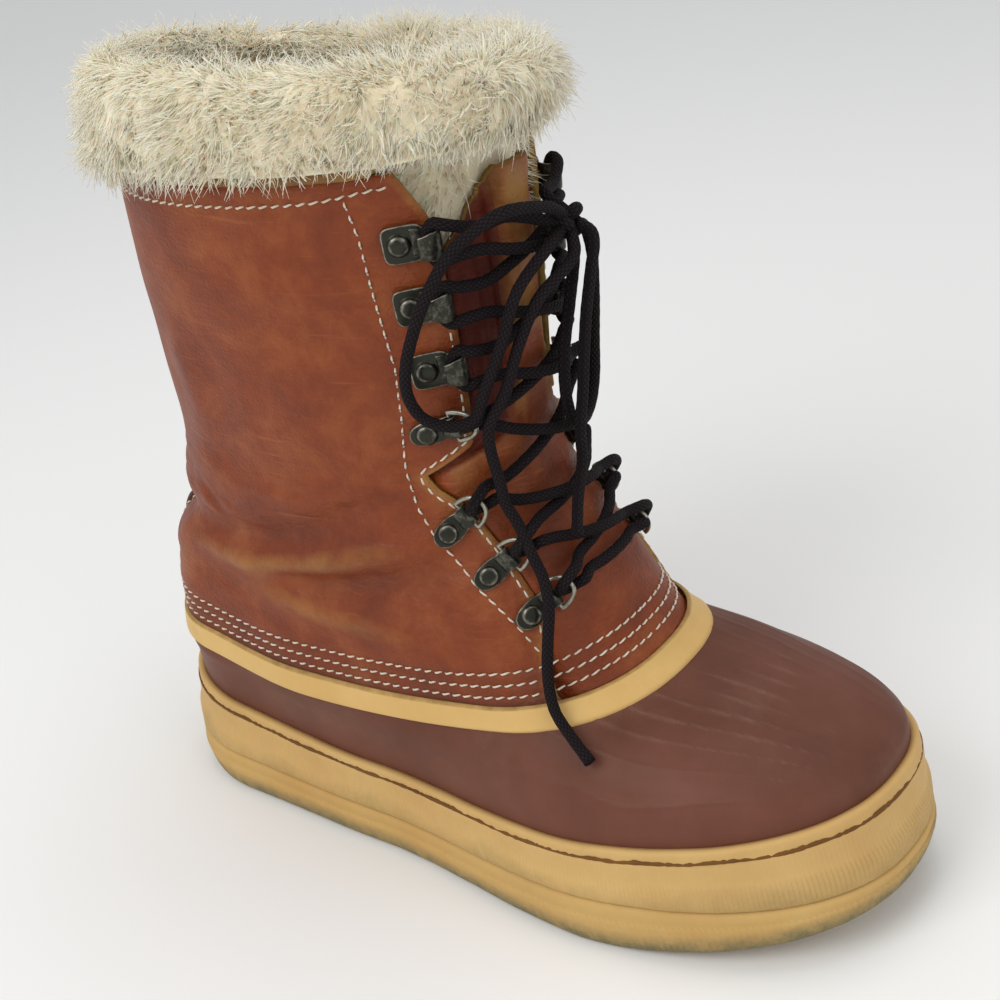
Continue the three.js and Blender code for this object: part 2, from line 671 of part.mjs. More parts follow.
const hardware = { hook: speedHook(), ring: ringClip() };
lacing.forEach((row, index) => {
  for (const side of [-1, 1]) {
    const geometry = geometryOf(hardware[row.kind]);
    if (side > 0) geometry.index.array.reverse();
    geometry.applyMatrix4(seatMatrix(row, side));
    const name = `${row.kind === 'hook' ? 'speed_hook' : 'ring_clip'}_${index + 1}_${side < 0 ? 'outer' : 'inner'}`;
    addPiece(name, geometry, colours.hardware, 0.45, 0.7);
  }
});

// Lace. A strand wraps over the tongue from one row's outer side to another row's inner side; lift moves
// its two ends up or down at the hardware and bulge lifts its middle off the leather.
const laceLift = 2.22;
const strandClear = 0.95;
const strandHeight = 3.5;
const strandOffset = laceDiameter / 2 + strandHeight;
const crossingRise = laceDiameter * 0.9;

function cordGeometry(points, sides, steps) {
  const path = new THREE.CatmullRomCurve3(points, false, 'centripetal');
  const section = new THREE.Shape(range(0, sides - 1, sides - 1).map((k) => {
    const angle = ((k + 0.5) / sides) * 2 * Math.PI;
    return new THREE.Vector2(Math.cos(angle), Math.sin(angle)).multiplyScalar(laceDiameter / 2);
  }));
  return new THREE.ExtrudeGeometry(section, { steps, extrudePath: path, bevelEnabled: false });
}

function strandEnd(row, lift) {
  const { t, turn } = seat(row);
  const tilt = THREE.MathUtils.degToRad(row.tilt);
  const ring = clipPlate.long / 2 + ringLong + ringWire / 2;
  const capReach = (laceDiameter / 2) * Math.sin(tilt);
  const reach = (row.kind === 'hook' ? hookReach + sheetMetal / 2 : ring) + strandClear + capReach;
  const speed = skin(t, turn).distanceTo(skin(t, turn + 0.02)) / 0.02;
  const forward = reach * Math.cos(tilt) - lift * Math.sin(tilt);
  const height = skin(t, turn).z + lift * Math.cos(tilt) + reach * Math.sin(tilt);
  return { height, turn: turn + forward / speed };
}

// outer is the end on the outer side, inner the end on the inner side; each is a row and a lift.
function strand(outer, inner, bulge) {
  const from = strandEnd(...outer);
  const to = strandEnd(...inner);
  return range(0, 1, 6).map((share) => {
    const turn = mix(from.turn, 2 * Math.PI - to.turn, share);
    const t = levelAt(mix(from.height, to.height, share), turn);
    return skinAt(t, turn, strandOffset + bulge * Math.sin(Math.PI * share) ** 2);
  });
}

for (let i = lacing.length - 1; i > 0; i -= 1) {
  const [lower, upper] = [[lacing[i], laceLift], [lacing[i - 1], -laceLift]];
  const under = strand(lower, upper, 0);
  const over = strand(upper, lower, crossingRise);
  const crossing = joined([under, over].map((points) => solidOf(cordGeometry(points, 6, 5))));
  addPiece(`lace_crossing_${i}`, geometryOf(crossing), colours.lace, 0.9);
}
const bars = { lace_bar_bottom: [lacing[lacing.length - 1], -laceLift], lace_bar_top: [lacing[0], laceLift] };
for (const [name, end] of Object.entries(bars)) {
  addPiece(name, cordGeometry(strand(end, end, 0), 6, 6), colours.lace, 0.9);
}

// Knot, loops and loose ends, along points chosen by hand
const knotCentre = [42.5, 10, 239];
const knotSize = [6.2, 8, 7];
const cordRoutes = {
  lace_loop_outer: [
    [43.5, 3.5, 244], [44.2, -2.2, 247.4], [41.3, -23.8, 252.4], [34.6, -31.4, 247.9], [29.5, -36.1, 243.1], [24, -41, 233.9],
    [17.7, -45.2, 220.3], [12.6, -47.5, 204.9], [11.9, -46.6, 195.2], [14.2, -43.6, 187.8], [20.4, -38.6, 183.9],
    [26, -33.3, 184.8], [30, -30.3, 194.4], [35.4, -25.4, 208.8], [40.3, -19.1, 225.5], [44, -4, 235.4], [43.4, 1.7, 236.7],
  ],
  lace_loop_inner: [
    [43.6, 9.6, 231.6], [44, 8.6, 227], [43.9, 3.4, 214], [43.4, -2.4, 199.1], [42.9, -4.2, 184], [42.5, -2, 174.6],
    [40.5, 7, 168.5], [38.5, 16, 171], [36.5, 23, 178], [35.5, 27, 190], [36, 29.5, 206], [38, 28, 222],
    [40.5, 21.5, 233], [41.2, 17.3, 235.2],
  ],
  lace_end_outer: [
    [46.4, 6, 233.8], [48, 3, 230], [43.6, -13.5, 220.6], [38.8, -20.5, 207.4], [35, -26, 193], [29.8, -30.9, 181.3],
    [28.6, -30.5, 173.7], [29.1, -29.1, 161.5], [30.5, -29.2, 152.3], [34.1, -28.6, 144.6], [38.5, -29.9, 135.4],
    [43, -30.9, 126], [45.5, -33.7, 117], [45.8, -37.1, 107.1], [45.6, -40, 92.9], [48.5, -42.7, 82],
    [55.8, -46, 76.4], [65.9, -50, 70.5],
  ],
  lace_end_inner: [
    [49.2, 11.7, 235.7], [50.9, 11, 233], [50.6, 7, 222], [49.9, 3, 210], [49.5, 0, 198.4], [48.8, -3, 183.8],
    [47, -4.4, 170.9], [45.8, -3.8, 159.1], [47.1, -11, 148], [49.1, -17, 137.5],
  ],
};
const cordStep = 11;

function laceKnot() {
  const knot = new THREE.SphereGeometry(1, 10, 7);
  knot.scale(...knotSize);
  knot.translate(...knotCentre);
  return geometryOf(solidOf(knot));
}
addPiece('lace_knot', laceKnot(), colours.lace, 0.9);

for (const [name, points] of Object.entries(cordRoutes)) {
  const route = points.map((p) => new THREE.Vector3(...p));
  const length = new THREE.CatmullRomCurve3(route).getLength();
  addPiece(name, cordGeometry(route, 8, Math.round(length / cordStep)), colours.lace, 0.9);
}

export default boot;
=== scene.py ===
"""Pac boot, right foot: leather shaft on a moulded rubber shoe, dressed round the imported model.

Shapes are worked out in millimetres from the boot's own section table and stored in metres, in the
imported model's frame: +X to the toe, +Y to the wearer's left, +Z up, the sole on z = 0.
"""

from __future__ import annotations

import logging
import math
from dataclasses import dataclass, field
from enum import Enum

import bpy
import numpy as np
from mathutils import Matrix, Vector


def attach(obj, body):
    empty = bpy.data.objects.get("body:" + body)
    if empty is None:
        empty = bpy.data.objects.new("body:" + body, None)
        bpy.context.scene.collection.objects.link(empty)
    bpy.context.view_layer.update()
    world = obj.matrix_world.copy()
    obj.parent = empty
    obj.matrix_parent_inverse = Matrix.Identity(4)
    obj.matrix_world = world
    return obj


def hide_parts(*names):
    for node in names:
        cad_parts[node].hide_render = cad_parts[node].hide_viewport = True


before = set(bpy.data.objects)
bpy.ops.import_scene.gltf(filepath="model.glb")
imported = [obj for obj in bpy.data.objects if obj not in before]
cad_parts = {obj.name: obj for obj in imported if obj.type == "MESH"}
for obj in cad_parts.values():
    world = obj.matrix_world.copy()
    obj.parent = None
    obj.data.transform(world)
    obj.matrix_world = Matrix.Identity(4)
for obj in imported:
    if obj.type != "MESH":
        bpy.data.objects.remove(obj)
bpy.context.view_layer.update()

MM = 0.001
LOG = logging.getLogger("pac_boot")
Array = np.ndarray

# Each row is one slice of the boot, sole line to collar: back x and z, front x and z (shares of foot
# length and collar height), half widths at heel, waist and ball, oval blend, nose share, dip.
SECTIONS = np.array([
    (-0.485, 0.079, 0.482, 0.109, 0.73, 0.78, 1.0, 0.0, 0.34, 0.026),
    (-0.485, 0.182, 0.479, 0.213, 0.73, 0.78, 1.0, 0.0, 0.34, 0.061),
    (-0.485, 0.211, 0.468, 0.242, 0.74, 0.79, 0.98, 0.0, 0.33, 0.058),
    (-0.483, 0.236, 0.43, 0.265, 0.75, 0.8, 0.94, 0.0, 0.31, 0.054),
    (-0.48, 0.254, 0.342, 0.285, 0.76, 0.82, 0.89, 0.0, 0.27, 0.051),
    (-0.477, 0.267, 0.237, 0.299, 0.75, 0.83, 0.845, 0.05, 0.22, 0.047),
    (-0.475, 0.301, 0.206, 0.32, 0.73, 0.81, 0.825, 0.1, 0.22, 0.036),
    (-0.476, 0.357, 0.184, 0.361, 0.71, 0.79, 0.805, 0.2, 0.22, 0.024),
    (-0.469, 0.41, 0.161, 0.414, 0.7, 0.76, 0.785, 0.4, 0.22, 0.012),
    (-0.44, 0.458, 0.127, 0.485, 0.72, 0.76, 0.77, 0.7, 0.24, 0.004),
    (-0.442, 0.508, 0.095, 0.564, 0.76, 0.76, 0.76, 0.9, 0.26, 0.0),
    (-0.427, 0.59, 0.085, 0.654, 0.78, 0.78, 0.78, 1.0, 0.26, 0.0),
    (-0.427, 0.7, 0.087, 0.759, 0.82, 0.82, 0.82, 1.0, 0.26, 0.0),
    (-0.419, 0.835, 0.09, 0.872, 0.86, 0.86, 0.86, 1.0, 0.26, 0.0),
    (-0.412, 0.994, 0.098, 1.009, 0.9, 0.9, 0.9, 1.0, 0.26, 0.0),
])
BAND_FOOT, BAND_TOP, COLLAR = 5.0, 6.0, 14.0
SHELL_TOP = (BAND_FOOT + BAND_TOP) / 2

# The throat's half opening (share of half the ball width) by height (share of the collar height).
THROAT_HEIGHT = np.array([0.325, 0.36, 0.42, 0.5, 0.555, 0.59, 0.614, 0.63, 0.645, 0.7, 0.84, 0.945, 1.03])
THROAT_HALF = np.array([0.6, 0.55, 0.451, 0.452, 0.475, 0.556, 0.585, 0.5, 0.412, 0.402, 0.433, 0.49, 0.66])


def smooth(value: Array) -> Array:
    """Ease from 0 to 1 as value goes from 0 to 1: 3v^2 - 2v^3."""
    x = np.clip(value, 0.0, 1.0)
    return x * x * (3.0 - 2.0 * x)


def unit(vectors: Array) -> Array:
    """Vectors divided by their lengths."""
    return vectors / np.maximum(np.linalg.norm(vectors, axis=-1, keepdims=True), 1e-12)


def lattice_noise(points: Array, size: float, seed: int) -> Array:
    """Smooth noise from -1 to 1: random values on a cubic lattice, blended by eased shares.

    Args:
        points: (..., 3) places in millimetres.
        size: lattice spacing in millimetres.
        seed: picks another pattern.

    Returns:
        One value for each point.
    """
    q = np.asarray(points, float) / size
    base = np.floor(q).astype(np.int64)
    share = smooth(q - base)
    total = np.zeros(q.shape[:-1])
    for corner in np.ndindex(2, 2, 2):
        cell = base + np.array(corner)
        mixed = (cell[..., 0] * 73856093) ^ (cell[..., 1] * 19349663) ^ (cell[..., 2] * 83492791)
        mixed = (mixed ^ (seed * 2654435761)) & 0xFFFFFFFF
        mixed = ((mixed ^ (mixed >> 13)) * 1274126177) & 0xFFFFFFFF
        value = (mixed >> 8 & 0xFFFF) / 65535.0
        total += value * np.prod(np.where(corner, share, 1.0 - share), axis=-1)
    return total * 2.0 - 1.0


@dataclass(frozen=True)
class BootForm:
    """The boot's skin as a function of level t (a row of SECTIONS) and turn round the foot."""

    foot_length: float = 316.0
    ball_width: float = 121.0
    collar_height: float = 266.0
    toe_swing: float = 6.0
    lateral_fullness: float = 0.02
    toe_spring: float = 16.0
    toe_spring_start: float = 68.0

    def row(self, t: Array) -> Array:
        """Section values at fractional level t, on a cubic through the rows with mean slopes."""
        last = len(SECTIONS) - 1
        i = np.clip(np.floor(t).astype(int), 0, last - 1)
        f = (t - i)[..., None]
        a, b = SECTIONS[i], SECTIONS[i + 1]
        before = np.where((i > 0)[..., None], (b - SECTIONS[np.maximum(i - 1, 0)]) / 2, b - a)
        after = np.where((i < last - 1)[..., None], (SECTIONS[np.minimum(i + 2, last)] - a) / 2, b - a)
        curve = (a * (2 * f**3 - 3 * f**2 + 1) + b * (3 * f**2 - 2 * f**3)
                 + before * (f**3 - 2 * f**2 + f) + after * (f**3 - f**2))
        return np.where(f > 1, b + after * (f - 1), curve)

    def skin(self, t: Array, turn: Array) -> Array:
        """Point of the skin: each slice is a foot outline blended into an oval, set along its chord.

        Args:
            t: level, 0 at the sole line and 14 at the collar.
            turn: 0 at the back, pi at the front by way of the outer side, 2 pi back again.

        Returns:
            (..., 3) points in millimetres.
        """
        t, turn = np.broadcast_arrays(np.asarray(t, float), np.asarray(turn, float))
        back_x, back_z, front_x, front_z, heel, waist, ball, oval, nose, dip = np.moveaxis(self.row(t), -1, 0)
        u = (1 - np.cos(turn)) / 2
        side = np.where(np.sin(turn) >= 0, -1.0, 1.0)
        rear = 1 - np.maximum((0.15 - u) / 0.15, 0) ** 2.2
        fore = 1 - np.maximum((u - 1 + nose) / nose, 0) ** 2.3
        body = heel + (waist - heel) * smooth((u - 0.12) / 0.28) + (ball - waist) * smooth((u - 0.38) / 0.34)
        foot = body * np.maximum(rear, 0) ** (1 / 2.2) * np.maximum(fore, 0) ** (1 / 2.3)
        round_one = ball * np.maximum(1 - np.abs(2 * u - 1) ** 2.2, 0) ** (1 / 2.2)
        outline = (1 - oval) * foot + oval * round_one
        swing = self.toe_swing * smooth((u - 0.3) / 0.7) * (1 - np.minimum(oval, 1))
        full = 1 - side * self.lateral_fullness * (1 - oval)
        return np.stack([
            self.foot_length * (back_x + (front_x - back_x) * u),
            swing + side * outline * full * self.ball_width / 2,
            self.collar_height * (back_z + (front_z - back_z) * u - dip * 4 * u * (1 - u)),
        ], -1)

    def normal(self, t: Array, turn: Array) -> Array:
        """Outward unit normal: cross product of the skin's small steps round and up."""
        t, turn = np.asarray(t, float), np.asarray(turn, float)
        step = 0.01
        along = self.skin(t, turn + step) - self.skin(t, turn - step)
        up = self.skin(t + step, turn) - self.skin(t - step, turn)
        return unit(np.cross(along, up))

    def at(self, t: Array, turn: Array, offset: Array) -> Array:
        """Skin point moved out by offset along the normal."""
        return self.skin(t, turn) + self.normal(t, turn) * np.asarray(offset, float)[..., None]

    def beside_sole(self, turn: Array, edge: Array, lift: Array) -> Array:
        """Point level with the sole line: edge out from the skin, lift above the line."""
        out = self.normal(0.0, turn)
        out[..., 2] = 0
        point = self.skin(0.0, turn) + unit(out) * np.asarray(edge, float)[..., None]
        point[..., 2] += lift
        return point

    def turn_at(self, t: Array, half: Array) -> Array:
        """Turn in the front quarter where the skin is half wide, by halving the interval 30 times."""
        t, half = np.broadcast_arrays(np.asarray(t, float), np.asarray(half, float))
        low, high = np.full(t.shape, math.pi / 2), np.full(t.shape, math.pi)
        for _ in range(30):
            middle = (low + high) / 2
            wide = np.abs(self.skin(t, middle)[..., 1]) > half
            low, high = np.where(wide, middle, low), np.where(wide, high, middle)
        return (low + high) / 2

    def level_at(self, height: Array, turn: Array) -> Array:
        """Level where the skin reaches height at turn, by halving the interval 30 times."""
        height, turn = np.broadcast_arrays(np.asarray(height, float), np.asarray(turn, float))
        low, high = np.zeros(height.shape), np.full(height.shape, COLLAR + 0.5)
        for _ in range(30):
            middle = (low + high) / 2
            under = self.skin(middle, turn)[..., 2] < height
            low, high = np.where(under, middle, low), np.where(under, high, middle)
        return (low + high) / 2

    def throat_half(self, height: Array) -> Array:
        """Half the throat's opening at a height in millimetres."""
        return np.interp(height / self.collar_height, THROAT_HEIGHT, THROAT_HALF) * self.ball_width / 2

    def sole_floor(self, x: Array) -> Array:
        """Height of the tread: flat, rising as a power curve to the toe and a little at the heel."""
        ahead = (x - self.toe_spring_start) / (self.foot_length / 2 - self.toe_spring_start)
        spring = np.maximum(ahead, 0) ** 1.4
        bevel = smooth((-x - self.foot_length / 2 + 16.0) / 16.0)
        return self.toe_spring * spring + 1.5 * bevel


FORM = BootForm()


class Side(Enum):
    """The two sides of the boot, as the sign of y."""

    OUTER = -1
    INNER = 1


# Mesh making

def grid_faces(rows: int, cols: int, wrap_rows: bool = False, wrap_cols: bool = False) -> Array:
    """Quads of a rows by cols grid of points, wound a, right, up-right, up."""
    r = np.arange(rows if wrap_rows else rows - 1)[:, None]
    c = np.arange(cols if wrap_cols else cols - 1)[None, :]
    up, right = (r + 1) % rows, (c + 1) % cols
    quads = np.stack([r * cols + c, r * cols + right, up * cols + right, up * cols + c], -1)
    return quads.reshape(-1, 4)


def closed_sheet(outer: Array, inner: Array) -> tuple[Array, Array, int]:
    """Wall between two grids of the same size, with its four rims closed.

    Args:
        outer: (rows, cols, 3) outer surface.
        inner: the matching inner surface.

    Returns:
        Points, quads, and how many of the last quads are the rims.
    """
    rows, cols = outer.shape[:2]
    size = rows * cols
    front = grid_faces(rows, cols)
    index = np.arange(size).reshape(rows, cols)
    loop = np.concatenate([index[0, :-1], index[:-1, -1], index[-1, :0:-1], index[:0:-1, 0]])
    ahead = np.roll(loop, -1)
    rim = np.stack([loop, loop + size, ahead + size, ahead], -1)
    points = np.concatenate([outer.reshape(-1, 3), inner.reshape(-1, 3)])
    return points, np.concatenate([front, front[:, ::-1] + size, rim]), len(rim)


def tubes(paths: Array, radii: Array, sides: int, phase: float = 0.0) -> tuple[Array, Array, Array]:
    """Closed tubes along many short paths, each ring square to its path, the ends drawn to a point.

    Args:
        paths: (tubes, stations, 3) centrelines.
        radii: (tubes, stations) radii.
        sides: corners of a ring.
        phase: turn of the first corner.

    Returns:
        Points, quads and a share along each tube for every point.
    """
    count, stations = paths.shape[:2]
    along = unit(np.gradient(paths, axis=1))
    helper = np.where(np.abs(along[..., 2:3]) > 0.9, [[[1.0, 0.0, 0.0]]], [[[0.0, 0.0, 1.0]]])
    across = unit(np.cross(along, helper))
    over = np.cross(along, across)
    angle = np.arange(sides) / sides * 2 * math.pi + phase
    spread = across[:, :, None] * np.cos(angle)[:, None] + over[:, :, None] * np.sin(angle)[:, None]
    rings = paths[:, :, None] + radii[:, :, None, None] * spread
    tips = paths[:, [0, -1], None] + np.zeros((1, 1, sides, 1))
    rings = np.concatenate([tips[:, :1], rings, tips[:, 1:]], 1)
    faces = grid_faces(stations + 2, sides, wrap_cols=True)
    step = (stations + 2) * sides
    every = (faces[None] + np.arange(count)[:, None, None] * step).reshape(-1, 4)
    share = np.concatenate([[0.0], np.linspace(0, 1, stations), [1.0]])
    return rings.reshape(-1, 3), every, np.tile(np.repeat(share, sides), count)


def resample(points: Array, step: float) -> Array:
    """Evenly spaced points on the centripetal curve through the given points.

    Args:
        points: (n, 3) points that the curve passes.
        step: spacing in millimetres.

    Returns:
        (m, 3) points, both ends kept.
    """
    ends = np.vstack([2 * points[0] - points[1], points, 2 * points[-1] - points[-2]])
    knots = np.concatenate([[0], np.cumsum(np.linalg.norm(np.diff(ends, axis=0), axis=1) ** 0.5)])
    t = np.linspace(knots[1], knots[-2], 40 * len(points))
    i = np.clip(np.searchsorted(knots, t, side="right") - 1, 1, len(knots) - 3)

    def blend(a: Array, b: Array, ka: Array, kb: Array) -> Array:
        """Straight mix of a at knot ka and b at knot kb."""
        return ((kb - t) / (kb - ka))[:, None] * a + ((t - ka) / (kb - ka))[:, None] * b

    k = [knots[i + n] for n in (-1, 0, 1, 2)]
    p = [ends[i + n] for n in (-1, 0, 1, 2)]
    a1, a2, a3 = (blend(p[n], p[n + 1], k[n], k[n + 1]) for n in range(3))
    dense = blend(blend(a1, a2, k[0], k[2]), blend(a2, a3, k[1], k[3]), k[1], k[2])
    length = np.concatenate([[0], np.cumsum(np.linalg.norm(np.diff(dense, axis=0), axis=1))])
    even = np.linspace(0, length[-1], max(int(round(length[-1] / step)), 2) + 1)
    return np.stack([np.interp(even, length, dense[:, k]) for k in range(3)], -1)


def cord_surface(path: Array, radius: Array, sides: int) -> tuple[Array, Array, Array]:
    """Tube round one path with a frame carried along it, so that a braid doesn't twist.

    Args:
        path: (n, 3) centreline.
        radius: (n,) radii.
        sides: corners of a ring; the seam's corner is doubled for the UV map.

    Returns:
        Points, quads and (points, 2) UV: millimetres along and share round.
    """
    along = unit(np.gradient(path, axis=0))
    across = np.zeros_like(path)
    across[0] = unit(np.cross(along[0], [0.3, 0.2, 0.9]))
    for i in range(1, len(path)):
        across[i] = unit(across[i - 1] - np.dot(across[i - 1], along[i]) * along[i])
    over = np.cross(along, across)
    angle = np.arange(sides) / sides * 2 * math.pi
    spread = across[:, None] * np.cos(angle)[:, None] + over[:, None] * np.sin(angle)[:, None]
    rings = path[:, None] + radius[:, None, None] * spread
    caps = path[[0, -1], None] + np.zeros((1, sides, 1))
    rings = np.concatenate([caps[:1], rings, caps[1:]])
    run = np.concatenate([[0], np.cumsum(np.linalg.norm(np.diff(path, axis=0), axis=1))])
    run = np.concatenate([run[:1], run, run[-1:]])
    uv = np.stack(np.broadcast_arrays(run[:, None], (np.arange(sides) / sides)[None]), -1)
    return rings.reshape(-1, 3), grid_faces(len(path) + 2, sides, wrap_cols=True), uv.reshape(-1, 2)


def face_out(points: Array, quads: Array) -> Array:
    """Quads wound so that the closed surface has a positive volume."""
    a, b, c, d = (points[quads[:, k]] for k in range(4))
    volume = np.einsum("ij,ij->", a, np.cross(b, c)) + np.einsum("ij,ij->", a, np.cross(c, d))
    return quads if volume > 0 else quads[:, ::-1]


def make_piece(name: str, points: Array, quads: Array, materials: list,
               node: tuple[str, ...] = (), index: Array | None = None, uv: Array | None = None,
               marks: dict[str, Array] | None = None) -> bpy.types.Object:
    """Puts a surface into a new object that rides on the boot.

    Args:
        name: the piece's name.
        points: (n, 3) in millimetres.
        quads: (m, 4) corners; a quad with a doubled corner becomes a triangle.
        materials: its materials.
        node: CAD nodes that it stands for.
        index: material number of each quad.
        uv: (n, 2) UV of each point.
        marks: named values of each point.

    Returns:
        The new object.
    """
    mesh = bpy.data.meshes.new(name)
    rounded = np.round(points, 5)
    _, first, again = np.unique(rounded, axis=0, return_index=True, return_inverse=True)
    quads = face_out(points, quads)
    merged = again.reshape(-1)[quads]
    keep = [len(set(q)) > 2 for q in merged.tolist()]
    faces = [list(dict.fromkeys(q)) for q, good in zip(merged.tolist(), keep) if good]
    mesh.from_pydata((points[first] * MM).tolist(), [], faces)
    mesh.polygons.foreach_set("use_smooth", np.ones(len(faces), bool))
    for material in materials:
        mesh.materials.append(material)
    if index is not None:
        mesh.polygons.foreach_set("material_index", np.asarray(index)[np.array(keep)].astype(np.int32))
    for mark, values in (marks or {}).items():
        layer = mesh.attributes.new(mark, "FLOAT", "POINT")
        layer.data.foreach_set("value", np.asarray(values, np.float32)[first])
    if uv is not None:
        layer = mesh.uv_layers.new(name="UVMap")
        corner = np.empty(len(mesh.loops), np.int64)
        mesh.loops.foreach_get("vertex_index", corner)
        layer.data.foreach_set("uv", uv[first][corner].astype(np.float32).ravel())
    mesh.update()
    piece = bpy.data.objects.new(name, mesh)
    bpy.context.scene.collection.objects.link(piece)
    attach(piece, "root")
    if node:
        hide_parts(*node)
    LOG.info("%s: %d faces", name, len(faces))
    return piece


# Materials

def linear(code: str) -> tuple[float, float, float, float]:
    """Scene-linear colour of an sRGB hex code."""
    parts = [int(code[i:i + 2], 16) / 255 for i in (1, 3, 5)]
    line = [p / 12.92 if p <= 0.04045 else ((p + 0.055) / 1.055) ** 2.4 for p in parts]
    return (line[0], line[1], line[2], 1.0)


class NodeWork:
    """A material in the making: short calls that add one shader node each and give its output."""

    def __init__(self, name: str) -> None:
        """An empty node material with its shader joined to the output."""
        self.material = bpy.data.materials.new(name)
        self.material.use_nodes = True
        self.tree = self.material.node_tree
        self.tree.nodes.clear()
        self.shader = self.add("BsdfPrincipled")
        self.add("OutputMaterial", {"Surface": self.shader.outputs[0]})
        self.spot = self.add("TexCoord").outputs["Object"]

    def add(self, kind: str, links: dict | None = None, **settings: object) -> bpy.types.Node:
        """Adds one shader node.

        Args:
            kind: node type without its prefix.
            links: input name or number to a value or to another node's output.
            settings: the node's own properties.
        """
        node = self.tree.nodes.new("ShaderNode" + kind)
        for key, value in settings.items():
            setattr(node, key, value)
        self.join(node, links or {})
        return node

    def join(self, node: bpy.types.Node, links: dict) -> None:
        """Links or sets inputs of a node."""
        for key, value in links.items():
            if isinstance(value, bpy.types.NodeSocket):
                self.tree.links.new(value, node.inputs[key])
            else:
                node.inputs[key].default_value = value

    def noise(self, scale: float, detail: float, roughness: float = 0.5, distortion: float = 0.0,
              at: bpy.types.NodeSocket | None = None) -> bpy.types.NodeSocket:
        """Noise over the object's space, or over another vector."""
        links = {"Vector": self.spot if at is None else at, "Scale": scale, "Detail": detail,
                 "Roughness": roughness, "Distortion": distortion}
        return self.add("TexNoise", links).outputs[0]

    def mark(self, name: str) -> bpy.types.NodeSocket:
        """Named value that the mesh carries."""
        return self.add("Attribute", attribute_name=name).outputs["Fac"]

    def uv_parts(self) -> tuple[bpy.types.NodeSocket, bpy.types.NodeSocket]:
        """Both numbers of the UV."""
        parts = self.add("SeparateXYZ", {0: self.add("UVMap").outputs[0]})
        return parts.outputs[0], parts.outputs[1]

    def math(self, operation: str, *values: object, clamp: bool = False) -> bpy.types.NodeSocket:
        """Sum, product or other operation."""
        return self.add("Math", dict(enumerate(values)), operation=operation, use_clamp=clamp).outputs[0]

    def remap(self, value: bpy.types.NodeSocket, low: float, high: float, start: float = 0.0,
              end: float = 1.0) -> bpy.types.NodeSocket:
        """Range low to high spread over start to end."""
        return self.add("MapRange", {0: value, 1: low, 2: high, 3: start, 4: end}).outputs[0]

    def mix(self, share: object, first: object, second: object) -> bpy.types.NodeSocket:
        """Colour from first to second by share."""
        return self.add("Mix", {0: share, 6: first, 7: second}, data_type="RGBA").outputs[2]

    def ramp(self, value: bpy.types.NodeSocket, *stops: tuple[float, str]) -> bpy.types.NodeSocket:
        """Colour ramp through (place, hex) stops."""
        node = self.add("ValToRGB", {0: value})
        elements = node.color_ramp.elements
        while len(elements) < len(stops):
            elements.new(0.5)
        for element, (place, code) in zip(elements, stops):
            element.position = place
            element.color = linear(code)
        return node.outputs[0]

    def bump(self, height: bpy.types.NodeSocket, strength: float, distance: float,
             under: bpy.types.NodeSocket | None = None) -> bpy.types.NodeSocket:
        """Relief from a height, on top of another relief if there is one."""
        links = {"Height": height, "Strength": strength, "Distance": distance}
        if under is not None:
            links["Normal"] = under
        return self.add("Bump", links).outputs[0]

    def done(self, inputs: dict) -> bpy.types.Material:
        """Joins the shader's inputs and gives the material."""
        self.join(self.shader, inputs)
        return self.material


@dataclass(frozen=True)
class OiledCowhide:
    """Full-grain oiled cowhide, polished by wear: mottled red brown with a fine pebble grain."""

    name: str = "oiled_cowhide"
    dark: str = "#5E230A"
    body: str = "#7E3711"
    light: str = "#9D582A"
    worn: str = "#AC7F40"
    soil_and_shade: str = "#3A1C10"
    roughness: float = 0.46

    def build(self) -> bpy.types.Material:
        """Mottle from two noises, lighter ridges (wear and painted highlight) and darker troughs (painted
        shade) from the piece's marks, grain as bump.
        """
        work = NodeWork(self.name)
        mottle = work.noise(34.0, 12.0, 0.68, 0.3)
        base = work.ramp(mottle, (0.24, self.dark), (0.5, self.body), (0.8, self.light))
        patch = work.noise(95.0, 8.0, 0.7)
        # Lighter where the wear-and-highlight mark is high: rubbed wear, and painted highlight on the crease
        # ridges.
        rub_and_highlight = work.remap(work.math("MULTIPLY", work.mark("worn"), patch), 0.16, 0.8, end=0.72)
        tone = work.mix(rub_and_highlight, base, linear(self.worn))
        # Darker where the soil-and-shade mark is set: soil, and painted shade in the crease troughs.
        dirt_and_shade = work.math("MULTIPLY", work.mark("soil_and_shade"), 0.8, clamp=True)
        tone = work.mix(dirt_and_shade, tone, linear(self.soil_and_shade))
        # Scratches are drawn about 0.5 mm wide, so that they show.
        stretch = work.add("Mapping", {"Vector": work.spot, "Rotation": (0.3, 0.9, 0.4),
                                       "Scale": (30.0, 30.0, 420.0)})
        thin = work.remap(work.noise(1.0, 3.0, at=stretch.outputs[0]), 0.66, 0.74, end=0.4)
        tone = work.mix(thin, tone, linear(self.light))
        gloss = work.remap(patch, 0.0, 1.0, self.roughness - 0.1, self.roughness + 0.14)
        grain = work.add("TexVoronoi", {"Vector": work.spot, "Scale": 950.0}, feature="SMOOTH_F1")
        pores = work.bump(grain.outputs["Distance"], 0.4, 0.0005)
        long = work.add("Mapping", {"Vector": work.spot, "Scale": (0.45, 0.45, 1.3)})
        folds = work.noise(330.0, 6.0, distortion=1.4, at=long.outputs[0])
        return work.done({"Base Color": tone, "Roughness": gloss, "Specular IOR Level": 0.3,
                          "Normal": work.bump(folds, 0.55, 0.0009, pores)})


